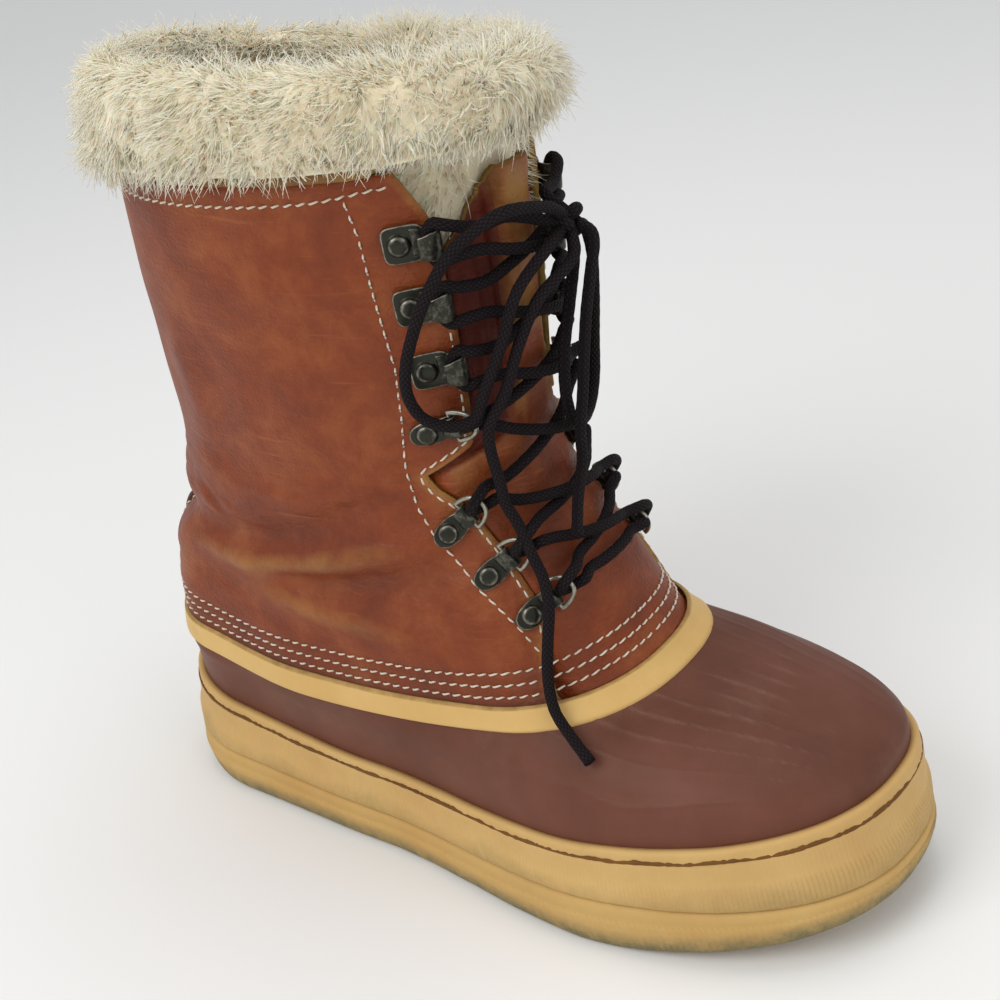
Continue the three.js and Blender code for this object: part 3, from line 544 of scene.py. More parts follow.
@dataclass(frozen=True)
class MouldedRubber:
    """Vulcanised rubber, satin from the mould, with dust in patches and its soil-and-shade colour where
    marked.
    """

    name: str
    body: str
    light: str
    soil_and_shade: str
    roughness: float = 0.55
    ribs: float = 0.0
    rib_pitch: float = 1.6
    dust: str = "#B9A48C"

    def build(self) -> bpy.types.Material:
        """Clouded colour, the soil-and-shade colour from the mark and a noise, and fine slanting ribs where
        marked.
        """
        work = NodeWork(self.name)
        base = work.ramp(work.noise(18.0, 8.0, 0.62), (0.35, self.body), (0.72, self.light))
        speck = work.noise(140.0, 6.0, 0.7)
        dirt_and_shade = work.remap(work.math("MULTIPLY", work.mark("soil_and_shade"), speck), 0.1, 0.6)
        tone = work.mix(dirt_and_shade, base, linear(self.soil_and_shade))
        dust = work.remap(work.noise(1300.0, 3.0), 0.6, 0.74, end=0.55)
        tone = work.mix(work.math("MULTIPLY", dust, dirt_and_shade), tone, linear(self.dust))
        gloss = work.remap(speck, 0.0, 1.0, self.roughness - 0.08, self.roughness + 0.12)
        relief = work.bump(speck, 0.12, 0.0005)
        if self.ribs > 0:
            run, row = work.uv_parts()
            slant = work.math("MULTIPLY_ADD", row, 0.35, run)
            wave = work.math("SINE", work.math("MULTIPLY", slant, 2 * math.pi / self.rib_pitch))
            high = work.math("MULTIPLY", wave, work.mark("ribbed"))
            relief = work.bump(high, self.ribs, 0.0004, relief)
        return work.done({"Base Color": tone, "Roughness": gloss, "Specular IOR Level": 0.22,
                          "Normal": relief})


@dataclass(frozen=True)
class WoollyFibre:
    """Spun or pressed fibre with a soft sheen, light at the tips and darker at the roots, the root colour
    being painted shade among the strands.
    """

    name: str
    root: str
    tip: str
    grey: str
    scale: float = 90.0

    def build(self) -> bpy.types.Material:
        """Colour from the tip mark, clouded by a noise; rough, with sheen."""
        work = NodeWork(self.name)
        # Root colour where the tip mark is low: painted shade among the strands.
        base = work.ramp(work.mark("tip"), (0.0, self.root), (0.6, self.tip))
        share = work.remap(work.noise(self.scale / 2, 4.0), 0.45, 0.8, end=0.75)
        fuzz = work.noise(self.scale * 9, 5.0)
        return work.done({"Base Color": work.mix(share, base, linear(self.grey)),
                          "Normal": work.bump(fuzz, 0.6, 0.0008), "Roughness": 0.95,
                          "Sheen Weight": 0.35, "Specular IOR Level": 0.15,
                          "Subsurface Weight": 0.3, "Subsurface Scale": 0.006})


@dataclass(frozen=True)
class BlackenedSteel:
    """Pressed steel with a black-green oxide finish, rubbed to bare metal at its edges; the hook tabs and
    rings are painted bare as highlight.
    """

    name: str = "blackened_steel_pressed"
    oxide: str = "#33332C"
    bare: str = "#A9A596"

    def build(self) -> bpy.types.Material:
        """Oxide with noise, bare metal where the wear-and-highlight mark and a noise meet."""
        work = NodeWork(self.name)
        wear = work.noise(420.0, 6.0, 0.7)
        share = work.remap(work.math("MULTIPLY", wear, work.mark("worn")), 0.26, 0.6, end=0.9)
        return work.done({"Base Color": work.mix(share, linear(self.oxide), linear(self.bare)),
                          "Roughness": work.remap(wear, 0.0, 1.0, 0.22, 0.44),
                          "Normal": work.bump(wear, 0.1, 0.0004), "Metallic": 0.85})


@dataclass(frozen=True)
class BraidedCord:
    """Round polyester braid: two sets of plaits crossing on the bias, dull and near black."""

    name: str = "braided_lace_cord"
    low: str = "#0A0607"
    high: str = "#261C1F"
    plaits: int = 8
    plait_length: float = 2.1

    def build(self) -> bpy.types.Material:
        """Diamonds: the product of two sines that run on the bias of the cord's UV."""
        work = NodeWork(self.name)
        along, around = work.uv_parts()
        run = work.math("MULTIPLY", along, math.pi / self.plait_length)
        turn = work.math("MULTIPLY", around, math.pi * self.plaits)
        waves = [work.math("ABSOLUTE", work.math("SINE", work.math(way, run, turn)))
                 for way in ("ADD", "SUBTRACT")]
        plait = work.math("MULTIPLY", *waves)
        # Darker in the grooves between plaits: painted shade.
        return work.done({"Base Color": work.ramp(plait, (0.05, self.low), (0.8, self.high)),
                          "Normal": work.bump(plait, 0.8, 0.0008), "Roughness": 0.8,
                          "Specular IOR Level": 0.18})


def built(kind: type, *values: object) -> bpy.types.Material:
    """Field of a dataclass that holds one finish, built with the others."""
    return field(default_factory=lambda: kind(*values).build())


@dataclass(frozen=True)
class Finishes:
    """Every material of the boot, built once."""

    cowhide: bpy.types.Material = built(OiledCowhide)
    strip: bpy.types.Material = built(
        OiledCowhide, "dark_cowhide_strip", "#2E120A", "#552416", "#6E3420", "#7A4A2C", "#1C0E09")
    # Darker copy of the cowhide for the tongue's gussets: painted shade.
    gusset: bpy.types.Material = built(
        OiledCowhide, "shaded_gusset_leather", "#3C0F05", "#6C220E", "#8A381A", "#A4743A", "#1C0A05", 0.52)
    raw: bpy.types.Material = built(
        OiledCowhide, "raw_split_edge", "#4E3818", "#7A5A28", "#A8853F", "#C9A552", "#33230F", 0.8)
    binding: bpy.types.Material = built(
        OiledCowhide, "rolled_tan_binding", "#5B3E1F", "#8A6233", "#A67C46", "#C2A052", "#3A2815", 0.5)
    shell: bpy.types.Material = built(
        MouldedRubber, "brown_rubber_moulded", "#5F3728", "#744637", "#856353", 0.5)
    band: bpy.types.Material = built(
        MouldedRubber, "tan_rubber_strip", "#CFA765", "#DDB877", "#9C7A44", 0.5)
    foxing: bpy.types.Material = built(
        MouldedRubber, "tan_rubber_foxing", "#C49C60", "#D2AE70", "#97804C", 0.6, 0.6)
    sole: bpy.types.Material = built(
        MouldedRubber, "tan_crepe_sole", "#BF9759", "#CCA869", "#7D7250", 0.68, 0.5, 2.2)
    line: bpy.types.Material = built(
        MouldedRubber, "brown_rubber_line", "#643E16", "#7A5122", "#45290F", 0.6)
    pile: bpy.types.Material = built(WoollyFibre, "cream_pile", "#D9C9A6", "#FAEFD4", "#E9DAB5")
    felt: bpy.types.Material = built(
        WoollyFibre, "pressed_wool_felt", "#77726A", "#8E897F", "#6A655D")
    steel: bpy.types.Material = built(BlackenedSteel)
    lace: bpy.types.Material = built(BraidedCord)
    thread: bpy.types.Material = built(
        WoollyFibre, "waxed_linen_thread", "#CFA88C", "#F2D8C2", "#DDB598", 400.0)


# Sub-assemblies

@dataclass(frozen=True)
class Crease:
    """A soft fold of the leather.

    Attributes:
        path: (turn, height in mm) places along it, mirrored on the inner side.
        lift: height of its middle, below 0 for a trough.
        width: half width in millimetres.
        sides: which sides of the boot have it.
    """

    path: tuple
    lift: float
    width: float
    sides: tuple = (Side.OUTER, Side.INNER)


@dataclass
class LeatherUpper:
    """Shaft leather: creased wall, triple stitching, backstay and collar binding."""

    form: BootForm
    finishes: Finishes
    tongue: Tongue
    wall: float = 2.2
    rows: int = 142
    cols: int = 190
    foot: float = SHELL_TOP + 0.05
    turn_mm: float = 66.0
    row_lifts: tuple = (2.9, 7.0, 11.2)
    stitch_pitch: float = 4.5
    stitch_long: float = 3.5
    thread_radius: float = 0.38
    backstay_half: float = 12.3
    backstay_thick: float = 2.1
    edge_stitch: float = 2.4
    binding_level: float = 268.0
    binding_set_back: float = 3.0
    creases: tuple = (
        Crease(((0.6, 117), (1.05, 115.6), (1.29, 116.6), (1.65, 123.3), (1.9, 129.2), (2.15, 134.3)),
               2.3, 6.0),
        Crease(((0.0, 123), (0.58, 123.7), (1.0, 124), (1.29, 125.5), (1.54, 131), (1.88, 143)), -2.0, 5.0),
        Crease(((0.9, 141), (0.97, 138.0), (1.12, 130.4)), -1.2, 2.6, (Side.OUTER,)),
        Crease(((1.3, 111.5), (1.6, 111.6), (1.79, 116.0), (2.12, 123.7), (2.35, 130.5)), -2.3, 5.0),
        Crease(((1.22, 112.5), (1.34, 104.9), (1.5, 101.6), (1.75, 99.4), (2.05, 97.5)), 1.8, 6.5),
        Crease(((1.95, 109), (2.15, 107), (2.4, 104)), 1.2, 5.0, (Side.OUTER,)),
        Crease(((1.05, 205), (1.06, 198.2), (1.08, 186.9), (1.08, 176.0), (1.03, 155.8)),
               1.5, 8.0, (Side.OUTER,)),
        Crease(((2.04, 163.5), (2.19, 164.6), (2.36, 162.7)), -0.7, 2.0),
        Crease(((2.1, 157.6), (2.23, 159.6), (2.36, 160.4)), -0.7, 1.8),
        Crease(((1.78, 141.2), (2.08, 152.0), (2.3, 156.2)), -1.0, 3.0),
        Crease(((1.5, 228), (1.8, 232), (2.1, 228)), 0.9, 9.0, (Side.OUTER,)),
        Crease(((0.9, 150), (1.3, 146), (1.7, 150)), 1.2, 7.0),
        Crease(((0.0, 109), (0.4, 109), (0.8, 107)), 0.9, 5.0),
        Crease(((1.2, 176), (1.7, 170), (2.1, 172)), 1.0, 9.0, (Side.INNER,)),
        Crease(((0.8, 236), (1.3, 241), (1.7, 236)), -0.8, 8.0, (Side.INNER,)),
    )

    def fold(self, turn: Array, height: Array) -> tuple[Array, Array]:
        """Sum of the creases: each a bell across its path, with soft shoulders, fading at its ends.

        Returns:
            Lift in millimetres, and the ridges' share: above 0 it lightens ridges for wear and painted
            highlight, below 0 it darkens troughs as painted shade.
        """
        mirrored = np.where(turn > math.pi, 2 * math.pi - turn, turn)
        inner = turn > math.pi
        lift, ridge = np.zeros_like(height), np.zeros_like(height)
        for crease in self.creases:
            path = np.array(crease.path, float) * (self.turn_mm, 1.0)
            here = np.stack([mirrored * self.turn_mm, height], -1)
            best, place = np.full(height.shape, 1e9), np.zeros_like(height)
            for k, (a, b) in enumerate(zip(path[:-1], path[1:])):
                run = b - a
                share = np.clip(((here - a) @ run) / (run @ run), 0, 1)
                away = np.linalg.norm(here - a - share[..., None] * run, axis=-1)
                place = np.where(away < best, (k + share) / (len(path) - 1), place)
                best = np.minimum(best, away)
            fade = 0.25 + 0.75 * np.sin(math.pi * np.clip(place, 0.04, 0.96)) ** 0.7
            on = np.where(inner, Side.INNER in crease.sides, Side.OUTER in crease.sides)
            bell = np.exp(-((best / crease.width) ** 2))
            shoulder = np.exp(-(((best - 1.9 * crease.width) / crease.width) ** 2))
            lift += on * fade * crease.lift * (bell - 0.35 * shoulder)
            strength = smooth(np.array((abs(crease.lift) - 0.8) / 1.4))
            ridge += on * fade * np.where(crease.lift > 0, bell, -0.7 * bell) * strength
        return lift, ridge

    def relief(self, turn: Array, height: Array, skin: Array) -> tuple[Array, Array, Array]:
        """Offset of the leather's outside: folds, undulation, ankle wrinkles and stitched channels.

        Returns:
            Offset in millimetres, the wear-and-highlight mark and the soil-and-shade mark.
        """
        lift, ridge = self.fold(turn, height)
        lift += 0.9 * lattice_noise(skin, 46, 3) + 0.35 * lattice_noise(skin, 17, 5)
        ankle = np.exp(-(((height - 132) / 30) ** 2))
        wrinkle = np.stack([turn * self.turn_mm / 11, height / 2.6 + 0.4 * turn * 6, 0 * turn], -1)
        fine = lattice_noise(wrinkle, 1.0, 11) * np.clip(lattice_noise(skin, 24, 19) + 0.35, 0, 1)
        lift += 0.75 * ankle * fine
        above = height - self.form.skin(BAND_TOP, turn)[..., 2]
        for row in self.row_lifts:
            lift -= 0.55 * np.exp(-(((above - row) / 1.1) ** 2))
        lift *= smooth((above + 3) / 9) * 0.75 + 0.25
        top = self.form.skin(COLLAR, turn)[..., 2] - height
        lift -= 0.35 * np.exp(-(((top - 7.0) / 1.2) ** 2))
        lift *= 0.35 + 0.65 * smooth(top / 14)
        lift = np.where(lift < -1.4, -1.4 + 1.2 * np.tanh((lift + 1.4) / 1.2), lift)
        # Lighter on the crease ridges: partly rubbed wear, partly painted highlight on the ridge tops.
        worn = np.clip(ridge * 0.9, 0, 1) * (0.4 + 0.6 * smooth((190 - height) / 60))
        worn += 0.1 * smooth((lattice_noise(skin, 30, 23) - 0.1) / 0.6)
        # Soil-and-shade mark: painted shade in the crease troughs, soil in random blotches, the dirt line
        # just above the band and darker leather near it.
        soil_and_shade = np.clip(-ridge * 0.35, 0, 1) + 0.22 * smooth(lattice_noise(skin, 38, 31) - 0.1)
        soil_and_shade += 0.6 * np.exp(-((above / 1.6) ** 2)) + 0.22 * smooth((14 - above) / 4)
        return lift, worn, soil_and_shade

    def outside(self, turn: Array, height: Array, raise_by: float = 0.0) -> Array:
        """Point on the leather's outside at a turn and a height in millimetres."""
        level = self.form.level_at(height, turn)
        skin = self.form.skin(level, turn)
        lift = self.relief(turn, height, skin)[0]
        return skin + self.form.normal(level, turn) * (lift + raise_by)[..., None]

    def edge(self, level: Array) -> Array:
        """Turn of the throat's edge at each level."""
        height = self.form.skin(level, math.pi)[..., 2]
        return self.form.turn_at(level, self.form.throat_half(height))

    def build_wall(self) -> None:
        """The wall: a grid from one throat edge round the back to the other, with a raw cut rim."""
        level = np.linspace(self.foot, COLLAR, self.rows)[:, None]
        share = np.linspace(-1, 1, self.cols)[None, :]
        share = share - 0.06 * np.sin(math.pi * share) * 0.9
        reach = self.edge(level[:, 0])[:, None]
        turn = share * reach
        level = np.broadcast_to(level, turn.shape)
        skin = self.form.skin(level, turn)
        height = skin[..., 2]
        around = np.mod(turn, 2 * math.pi)
        lift, worn, soil_and_shade = self.relief(around, height, skin)
        away = (1 - np.abs(share)) * reach * self.turn_mm
        lip = np.exp(-((away / 5.0) ** 2))
        lift = lift * (1 - 0.6 * lip) + 0.25 * lip
        worn = worn + 0.85 * np.exp(-((away / 3.2) ** 2))
        worn = worn + 0.35 * np.exp(-((away / 14) ** 2)) * (height < 175)
        normal = self.form.normal(level, turn)
        outer = skin + normal * lift[..., None]
        inner = skin + normal * (np.minimum(lift * 0.3, 0) - self.wall)[..., None]
        points, quads, rim = closed_sheet(outer, inner)
        index = np.zeros(len(quads), int)
        index[-rim:] = 1
        index[len(quads) // 2 - rim // 2: -rim] = 1
        marks = {"worn": np.tile(worn.ravel(), 2), "soil_and_shade": np.tile(soil_and_shade.ravel(), 2)}
        make_piece("leather_wall", points, quads, [self.finishes.cowhide, self.finishes.raw],
                   ("leather_upper",), index, marks=marks)

    def seam(self, turn: Array, height: Array, pitch: float | None = None) -> Array:
        """Stitches along a line: each a short arched capsule, set evenly and leaning a little.

        Args:
            turn: turns of the line's corners.
            height: heights of the line's corners.
            pitch: spacing in millimetres.

        Returns:
            (stitches, 5, 3) centrelines.
        """
        pitch = pitch or self.stitch_pitch
        fine = np.linspace(0, len(turn) - 1, 40 * len(turn))
        t, z = np.interp(fine, range(len(turn)), turn), np.interp(fine, range(len(turn)), height)
        run = self.outside(np.mod(t, 2 * math.pi), z)
        length = np.concatenate([[0], np.cumsum(np.linalg.norm(np.diff(run, axis=0), axis=1))])
        middle = np.arange(pitch / 2, length[-1], pitch)
        reach = np.linspace(-0.5, 0.5, 5) * self.stitch_long
        where = middle[:, None] + reach[None] * (1 + 0.08 * np.sin(middle * 7.1))[:, None]
        tt, zz = np.interp(where, length, t), np.interp(where, length, z)
        lean = 0.22 * np.sign(reach)[None] * np.ones_like(where)
        arch = 0.42 - 0.72 * np.abs(np.linspace(-1, 1, 5)) ** 4
        level = self.form.level_at(zz, tt)
        skin = self.form.skin(level, tt)
        lift = self.relief(np.mod(tt, 2 * math.pi), zz, skin)[0]
        lift = np.where(np.abs(tt) > self.edge(level), self.tongue.lift_at(skin, zz, np.zeros_like(zz)), lift)
        points = skin + self.form.normal(level, tt) * (lift + arch[None])[..., None]
        points[..., 2] += lean
        return points

    def build_stitches(self) -> None:
        """Triple rows round the foot, top line, eyestay lines and notch lines, joined as one piece."""
        round_turn = np.linspace(-math.pi, math.pi, 120)
        band = self.form.skin(BAND_TOP, round_turn)[..., 2]
        front = 1.4 * smooth((np.abs(round_turn) - 2.4) / 0.5)
        runs = [self.seam(round_turn, band + lift + front) for lift in self.row_lifts]
        top = np.linspace(-2.42, 2.42, 60)
        collar = self.form.skin(COLLAR, top)[..., 2]
        sag = 6.4 + 1.2 * np.exp(-(((np.abs(top) - 1.4) / 0.7) ** 2))
        sag = sag - 2.2 * smooth((np.abs(top) - 2.0) / 0.4)
        runs.append(self.seam(top, collar - sag, 4.6))
        stay_turn = np.array([2.21, 2.25, 2.27, 2.29, 2.31, 2.29, 2.25, 2.26, 2.29, 2.39, 2.5, 2.56])
        stay_height = np.array([261, 248, 230.6, 215.9, 201.7, 182.8, 163.7, 148.4, 135.6, 120, 106.9, 97])
        edge_level = np.linspace(float(self.form.level_at(103.0, 2.6)), COLLAR - 0.75, 150)
        edge_turn = self.edge(edge_level)
        run = self.form.skin(edge_level, edge_turn)
        back = unit(np.cross(unit(np.gradient(run, axis=0)), self.form.normal(edge_level, edge_turn)))
        ahead, behind = (self.form.skin(edge_level, edge_turn + nudge) for nudge in (0.01, -0.01))
        step = (ahead - behind) / 0.02
        back = back * np.where((back * step).sum(-1) > 0, -1.0, 1.0)[:, None]
        edge_turn = edge_turn + self.edge_stitch * (back * step).sum(-1) / (step * step).sum(-1)
        edge_height = run[:, 2] + self.edge_stitch * back[:, 2]
        for sign in (1, -1):
            runs.append(self.seam(sign * stay_turn, stay_height))
            runs.append(self.seam(sign * edge_turn, edge_height))
            level = np.linspace(BAND_TOP + 1.0, COLLAR - 0.9, 30)
            turn = sign * np.full(30, self.backstay_half / self.turn_mm * 1.16 + 0.03)
            runs.append(self.seam(turn, self.form.skin(level, turn)[..., 2]))
        paths = np.concatenate(runs)
        radii = np.full(paths.shape[:2], self.thread_radius) * np.array([0.75, 1, 1.08, 1, 0.75])
        points, quads, _ = tubes(paths, radii, 5)
        make_piece("upper_stitches", points, quads, [self.finishes.thread],
                   marks={"tip": np.full(len(points), 0.8)})

    def build_backstay(self) -> None:
        """Strip up the back seam, thicker at its turned edges, following the heel's bulge."""
        level = np.linspace(BAND_TOP + 0.05, COLLAR, 120)[:, None]
        share = np.linspace(-1, 1, 19)[None, :]
        half = (math.pi - self.form.turn_at(COLLAR, self.backstay_half)) * 1.02
        turn = share * half + 0 * level
        level = level + 0 * share
        skin = self.form.skin(level, turn)
        lift = self.relief(np.mod(turn, 2 * math.pi), skin[..., 2], skin)[0]
        bead = 0.5 * np.exp(-(((np.abs(share) - 0.9) / 0.09) ** 2))
        bead = bead - 0.7 * smooth((np.abs(share) - 0.93) / 0.07)
        ruck = 0.35 * lattice_noise(skin * (0.4, 1, 1), 9, 41)
        normal = self.form.normal(level, turn)
        outer = skin + normal * (lift + self.backstay_thick + bead + ruck)[..., None]
        inner = skin + normal * (lift - 0.3)[..., None]
        points, quads, _ = closed_sheet(outer, inner)
        worn = np.tile((0.3 * np.exp(-(((np.abs(share) - 0.9) / 0.1) ** 2)) + 0 * level).ravel(), 2)
        make_piece("back_strip", points, quads, [self.finishes.strip], ("backstay",),
                   marks={"worn": worn, "soil_and_shade": 0.2 + 0 * worn})

    def build_binding(self) -> None:
        """Tan leather rolled over the collar: an oval section, wrinkled, carried round the back."""
        half = self.form.throat_half(self.binding_level) + self.binding_set_back
        corner = float(self.form.turn_at(COLLAR, half))
        turn = np.linspace(-corner, corner, 260)
        rise = 1 / (self.form.skin(COLLAR, turn)[:, 2] - self.form.skin(COLLAR - 1, turn)[:, 2])
        angle = np.linspace(0, 2 * math.pi, 20, endpoint=False)
        swell = 1 + 0.12 * lattice_noise(np.stack([turn * self.turn_mm, 0 * turn, 0 * turn], -1), 7, 51)
        ends = np.sqrt(np.clip(1 - (np.abs(turn) / corner) ** 60, 0.02, 1))
        out = -1.1 + 2.3 * np.cos(angle)[:, None] * swell * ends
        up = 1.4 + 2.4 * np.sin(angle)[:, None] * swell * ends
        surface = self.form.at(COLLAR + up * rise, np.broadcast_to(turn, up.shape), out)
        caps = surface.mean(0, keepdims=True)
        rings = np.concatenate([np.repeat(caps[:, :1], 20, 0), surface, np.repeat(caps[:, -1:], 20, 0)], 1)
        points = rings.transpose(1, 0, 2).reshape(-1, 3)
        quads = grid_faces(262, 20, wrap_cols=True)
        worn = np.repeat(np.concatenate([[1], 0.25 + 0.75 * smooth((np.abs(turn) - 2.1) / 0.3), [1]]), 20)
        make_piece("collar_roll", points, quads, [self.finishes.binding],
                   ("collar_binding",), marks={"worn": worn, "soil_and_shade": 0.3 * (1 - worn)})

    def build(self) -> None:
        """All leather pieces of the shaft."""
        self.build_wall()
        self.build_stitches()
        self.build_backstay()
        self.build_binding()


@dataclass
class Tongue:
    """Gusseted tongue: a thick worn strip up the middle, thin folded gussets at its sides."""

    form: BootForm
    finishes: Finishes
    thick: float = 2.4
    top: float = 262.0
    wing_drop: float = 18.0
    cover: float = 6.0
    clearance: float = 0.8
    proud: float = 5.0
    wall: float = 2.2

    def lift_at(self, skin: Array, height: Array, strip_edge: Array) -> Array:
        """Offset of the tongue's outside where it is a smooth strip, full over the instep.

        Args:
            skin: points of the boot's skin.
            height: their heights in millimetres.
            strip_edge: 0 on the strip and 1 on the thin gussets.
        """
        rise = smooth((height / self.form.collar_height - 0.34) / 0.45)
        puff = 1.7 * smooth((150 - height) / 45) + 1.5 * np.exp(-(((height - 118) / 20) ** 2))
        lift = -self.wall - self.clearance + puff + self.proud * rise * (1 - strip_edge)
        return lift + 0.5 * lattice_noise(skin, 22, 61) + 0.2 * lattice_noise(skin, 6, 62)

    def build(self) -> None:
        """Grid of height share by place across; the strip's edges step down to the gussets."""
        shares = np.linspace(0.31, 1, 126)[:, None]
        across = np.linspace(-1, 1, 61)[None, :]
        top = self.top - 5.0 * smooth((np.abs(across) - 0.2) / 0.06)
        top = top - self.wing_drop * smooth((np.abs(across) - 0.24) / 0.62)
        foot = 0.31 * self.form.collar_height
        height = foot + (top - foot) * (shares - 0.31) / 0.69
        strip_half = np.interp(height, [150, 174, 200, 262], [1.3, 0.44, 0.3, 0.24])
        strip = smooth((strip_half - np.abs(across)) / 0.07)
        level = self.form.level_at(height, math.pi)
        half = np.minimum(self.form.throat_half(height), 0.56 * self.form.ball_width / 2) + self.cover
        turn = self.form.turn_at(level, half * np.abs(across))
        turn = np.where(across < 0, turn, 2 * math.pi - turn)
        skin = self.form.skin(level, turn)
        rise = smooth((shares - 0.34) / 0.45)
        tuck = smooth((np.abs(across) - 0.78) / 0.1)
        lift = self.lift_at(skin, height, 1 - strip) * (1 - tuck) + (-self.wall - self.clearance) * tuck
        flutes = np.sin(np.abs(across) * 34 + 1.4 * np.sin(shares * 9)) * 0.6
        lift = lift + flutes * (1 - strip) * rise
        buckle = np.exp(-(((shares - 0.58) / 0.06) ** 2)) * np.sin(shares * 90) * 0.6 * strip
        lift = lift + buckle - 0.8 * smooth((np.abs(across) - 0.8) / 0.2)
        normal = self.form.normal(level, turn)
        outer = skin + normal * lift[..., None]
        inner = skin + normal * (lift - self.thick)[..., None]
        points, quads, rim = closed_sheet(outer, inner)
        middle = grid_faces(126, 61)[:, 0] % 61
        row_height = height[:-1, :-1].ravel()
        strip_columns = np.interp(row_height, [158, 172, 200, 262], [31, 13, 8.2, 6.5])
        gusset = (np.abs(middle - 29.5) > strip_columns).astype(int) * 2
        index = np.concatenate([gusset, np.ones(len(gusset), int) * 3, np.ones(rim, int)])
        edge = np.exp(-(((np.abs(across) - 0.24) / 0.05) ** 2)) * smooth((height - 160) / 12)
        worn = 1.25 * smooth((shares - 0.5) / 0.3) * (0.5 + lattice_noise(skin, 14, 65)) * strip + 0.5 * edge
        worn = worn + 0.5 * smooth((shares - 0.965) / 0.03)
        # More of the soil-and-shade mark off the strip: painted shade on the gussets.
        soil_and_shade = 0.35 * (1 - strip) + 0.3 * smooth(lattice_noise(skin, 20, 66))
        marks = {"worn": np.tile(worn.ravel(), 2), "soil_and_shade": np.tile(soil_and_shade.ravel(), 2)}
        make_piece("tongue_leather", points, quads,
                   [self.finishes.cowhide, self.finishes.raw, self.finishes.gusset, self.finishes.gusset],
                   ("tongue",), index, marks=marks)


